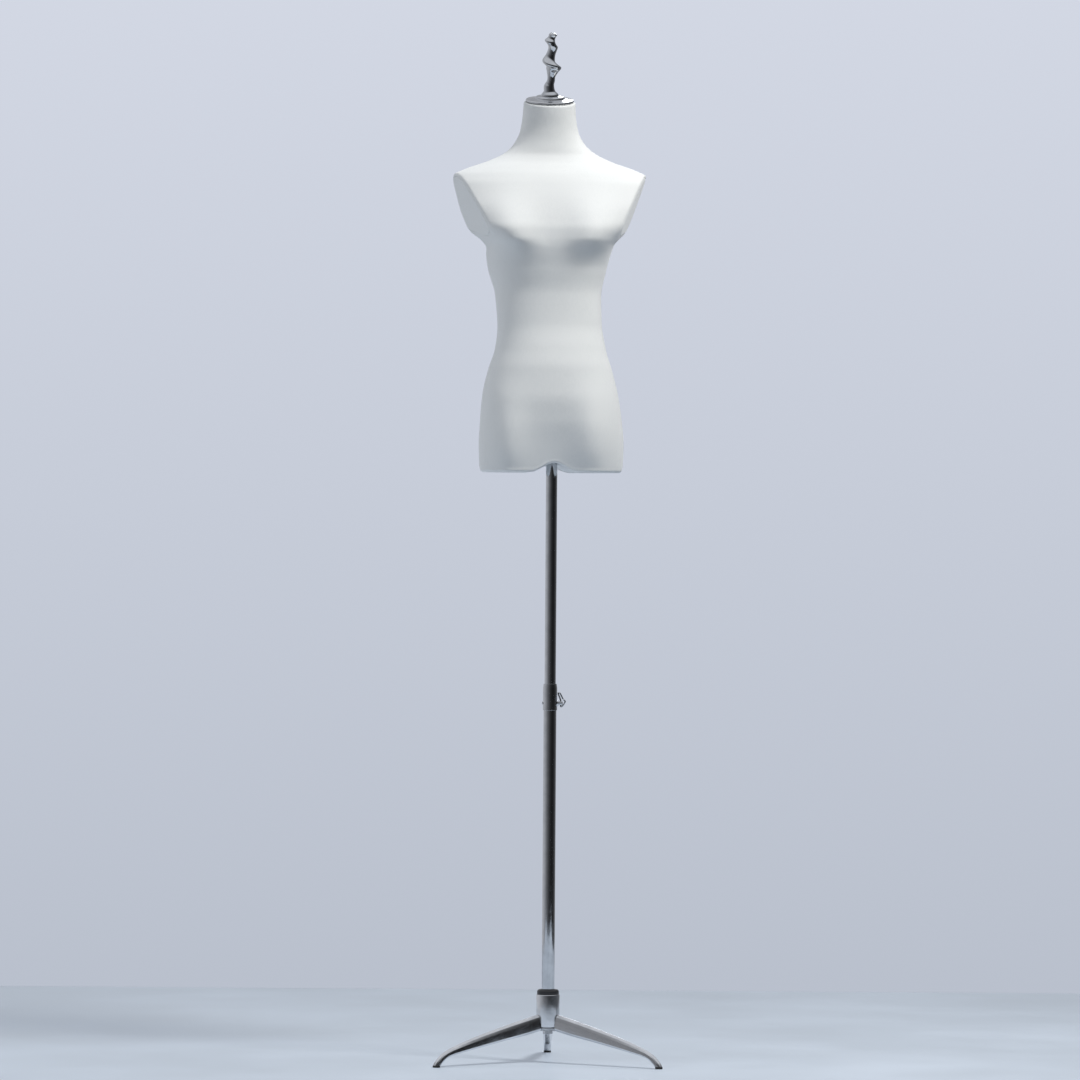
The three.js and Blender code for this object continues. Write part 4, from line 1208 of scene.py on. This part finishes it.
def build_neck_top():
    bore = STUD_RADIUS + GAP
    cap = lathe("chrome_neck_cap", [
        (bore, 0, 0), (CAP_RADIUS - 1.5, 0, 0.3), (CAP_RADIUS, 1.4, 0.8), (CAP_RADIUS, 3.6, 1),
        (CAP_RADIUS - 1.5, 5, 1), (29, 6.6, 1.2), (27.6, 9.6, 1), (26, 11, 1), (18, 12.4, 3),
        (bore, CAP_HEIGHT, 0),
    ], 128, hollow=True)
    finish_piece(cap, ON_NECK, "torso", CHROME, ["neck_cap"])
    rings = [finial_ring(h) for h in np.linspace(0, FINIAL_HEIGHT, FINIAL_RINGS)]
    finial = loft("twisted_finial", rings)
    tidy(finial)
    combined(finial, rod(bore, 5, CAP_HEIGHT + GAP + STUD_HOLE_DEPTH), "DIFFERENCE")
    finish_piece(finial, ON_NECK, "torso", CHROME, ["finial"], FINIAL_SHARP)

# ---- CAD nodes that stay

def paint_frame():
    """The pieces inside keep their CAD meshes and get their materials."""
    paints = {
        STEEL: ["lower_pole_plug", "pole_socket", "finial_stud", "finial_washer", "finial_nut",
                *(f"socket_screw_{number}" for number in (1, 2, 3, 4))],
        NYLON: ["collar_bushing", "upper_pole_guide", "upper_pole_cap"],
        BRASS: ["pressure_pad"],
        WOOD: ["bottom_board", "neck_block"],
    }
    for material, names in paints.items():
        for name in names:
            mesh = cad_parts[name].data
            mesh.materials.clear()
            mesh.materials.append(material)

# ---- studio, in metres

FLOOR_BEHIND = 1.95
FLOOR_REACH = 1.7
BACKDROP_LOW = (0.48, 0.52, 0.60, 1)
BACKDROP_HIGH = (0.65, 0.685, 0.775, 1)
BACKDROP_SLOPE = (-0.08, 0.09)
WALL_AXIS = (-0.55, 0.5, 0)
WALL_TONES = ((0.12, 0.015), (0.25, 0.05), (0.5, 0.17), (0.75, 0.42), (0.9, 0.6))
CEILING = (0.66, 0.68, 0.72, 1)
CEILING_START = 0.5
CEILING_END = 0.78

def make_floor():
    points = [
        (-FLOOR_REACH, POLE.y - FLOOR_REACH, 0), (FLOOR_REACH, POLE.y - FLOOR_REACH, 0),
        (FLOOR_REACH, POLE.y + FLOOR_BEHIND, 0), (-FLOOR_REACH, POLE.y + FLOOR_BEHIND, 0),
    ]
    floor = mesh_object("studio_floor", np.array(points) / MM, [(0, 1, 2, 3)])
    material, tree, shader = new_material("pale_floor", (0.66, 0.69, 0.74), 0.4)
    shader.inputs["Specular IOR Level"].default_value = 0.35
    drift = noise(tree, 2.2, 4.0)
    tree.links.new(
        tones(tree, drift, (0.575, 0.65, 0.74), (0.64, 0.715, 0.81)), shader.inputs["Base Color"]
    )
    tree.links.new(spread(tree, drift, 0.3, 0.45), shader.inputs["Roughness"])
    floor.data.materials.append(material)

def make_world():
    """A pale backdrop, and for reflections a room that is bright above and behind on one side."""
    world = bpy.data.worlds.new("studio")
    bpy.context.scene.world = world
    world.use_nodes = True
    tree = world.node_tree
    tree.nodes.clear()
    where = add_node(tree, "ShaderNodeTexCoord")
    axis = add_node(
        tree, "ShaderNodeVectorMath", {0: where.outputs["Generated"]}, operation="DOT_PRODUCT",
    )
    axis.inputs[1].default_value = WALL_AXIS
    facing = spread(tree, axis.outputs["Value"], 0, 1, -1, 1)
    walls = add_node(tree, "ShaderNodeValToRGB", {"Fac": facing})
    ramp = walls.color_ramp.elements
    while len(ramp) < len(WALL_TONES):
        ramp.new(0.5)
    for stop, (position, grey) in zip(ramp, WALL_TONES):
        stop.position = position
        stop.color = (0.95 * grey, 0.98 * grey, 1.05 * grey, 1)
    split = add_node(tree, "ShaderNodeSeparateXYZ", {"Vector": where.outputs["Generated"]})
    above = spread(tree, split.outputs["Z"], 0, 1, CEILING_START, CEILING_END)
    room = add_node(tree, "ShaderNodeMix", {"Factor": above}, data_type="RGBA")
    tree.links.new(walls.outputs["Color"], room.inputs[6])
    room.inputs[7].default_value = CEILING
    light = add_node(tree, "ShaderNodeBackground", {"Color": room.outputs[2]}, strength=1.0)
    climb = spread(tree, split.outputs["Z"], 0, 1, *BACKDROP_SLOPE)
    shade = add_node(tree, "ShaderNodeMix", {"Factor": climb}, data_type="RGBA")
    shade.inputs[6].default_value = BACKDROP_LOW
    shade.inputs[7].default_value = BACKDROP_HIGH
    backdrop = add_node(tree, "ShaderNodeBackground", {"Color": shade.outputs[2]}, strength=1.0)
    path = add_node(tree, "ShaderNodeLightPath")
    seen = add_node(tree, "ShaderNodeMixShader", {
        0: path.outputs["Is Camera Ray"],
        1: light.outputs["Background"],
        2: backdrop.outputs["Background"],
    })
    add_node(tree, "ShaderNodeOutputWorld", {"Surface": seen.outputs["Shader"]})

# Each lamp: its place, the height it is aimed at on the pole, its size, power and colour, and
# whether the polished metal shows it.
LAMPS = {
    "key": ((1.98, -1.68, 4.02), 1.5, 1.1, 122, (1.0, 0.985, 0.96), False),
    "fill": ((-3.0, -2.4, 1.6), 1.2, 2.0, 24, (0.93, 0.96, 1.0), False),
    "rim": ((0.3, 2.4, 3.1), 1.8, 0.7, 8, (0.95, 0.98, 1.0), True),
}

def make_light(name, place, height, size, power, color, mirrored):
    data = bpy.data.lights.new(name, "AREA")
    data.shape = "DISK"
    data.size = size
    data.energy = power
    data.color = color
    light = bpy.data.objects.new(name, data)
    light.location = place
    aim = Vector((0, POLE.y, height)) - Vector(place)
    light.rotation_euler = aim.to_track_quat("-Z", "Y").to_euler()
    light.visible_glossy = mirrored
    bpy.context.scene.collection.objects.link(light)

def make_studio():
    make_floor()
    make_world()
    for name, lamp in LAMPS.items():
        make_light(name, *lamp)
    bpy.context.scene.view_settings.view_transform = "Standard"

build_base()
build_pole()
build_torso()
build_neck_top()
paint_frame()
make_studio()

bpy.context.view_layer.update()
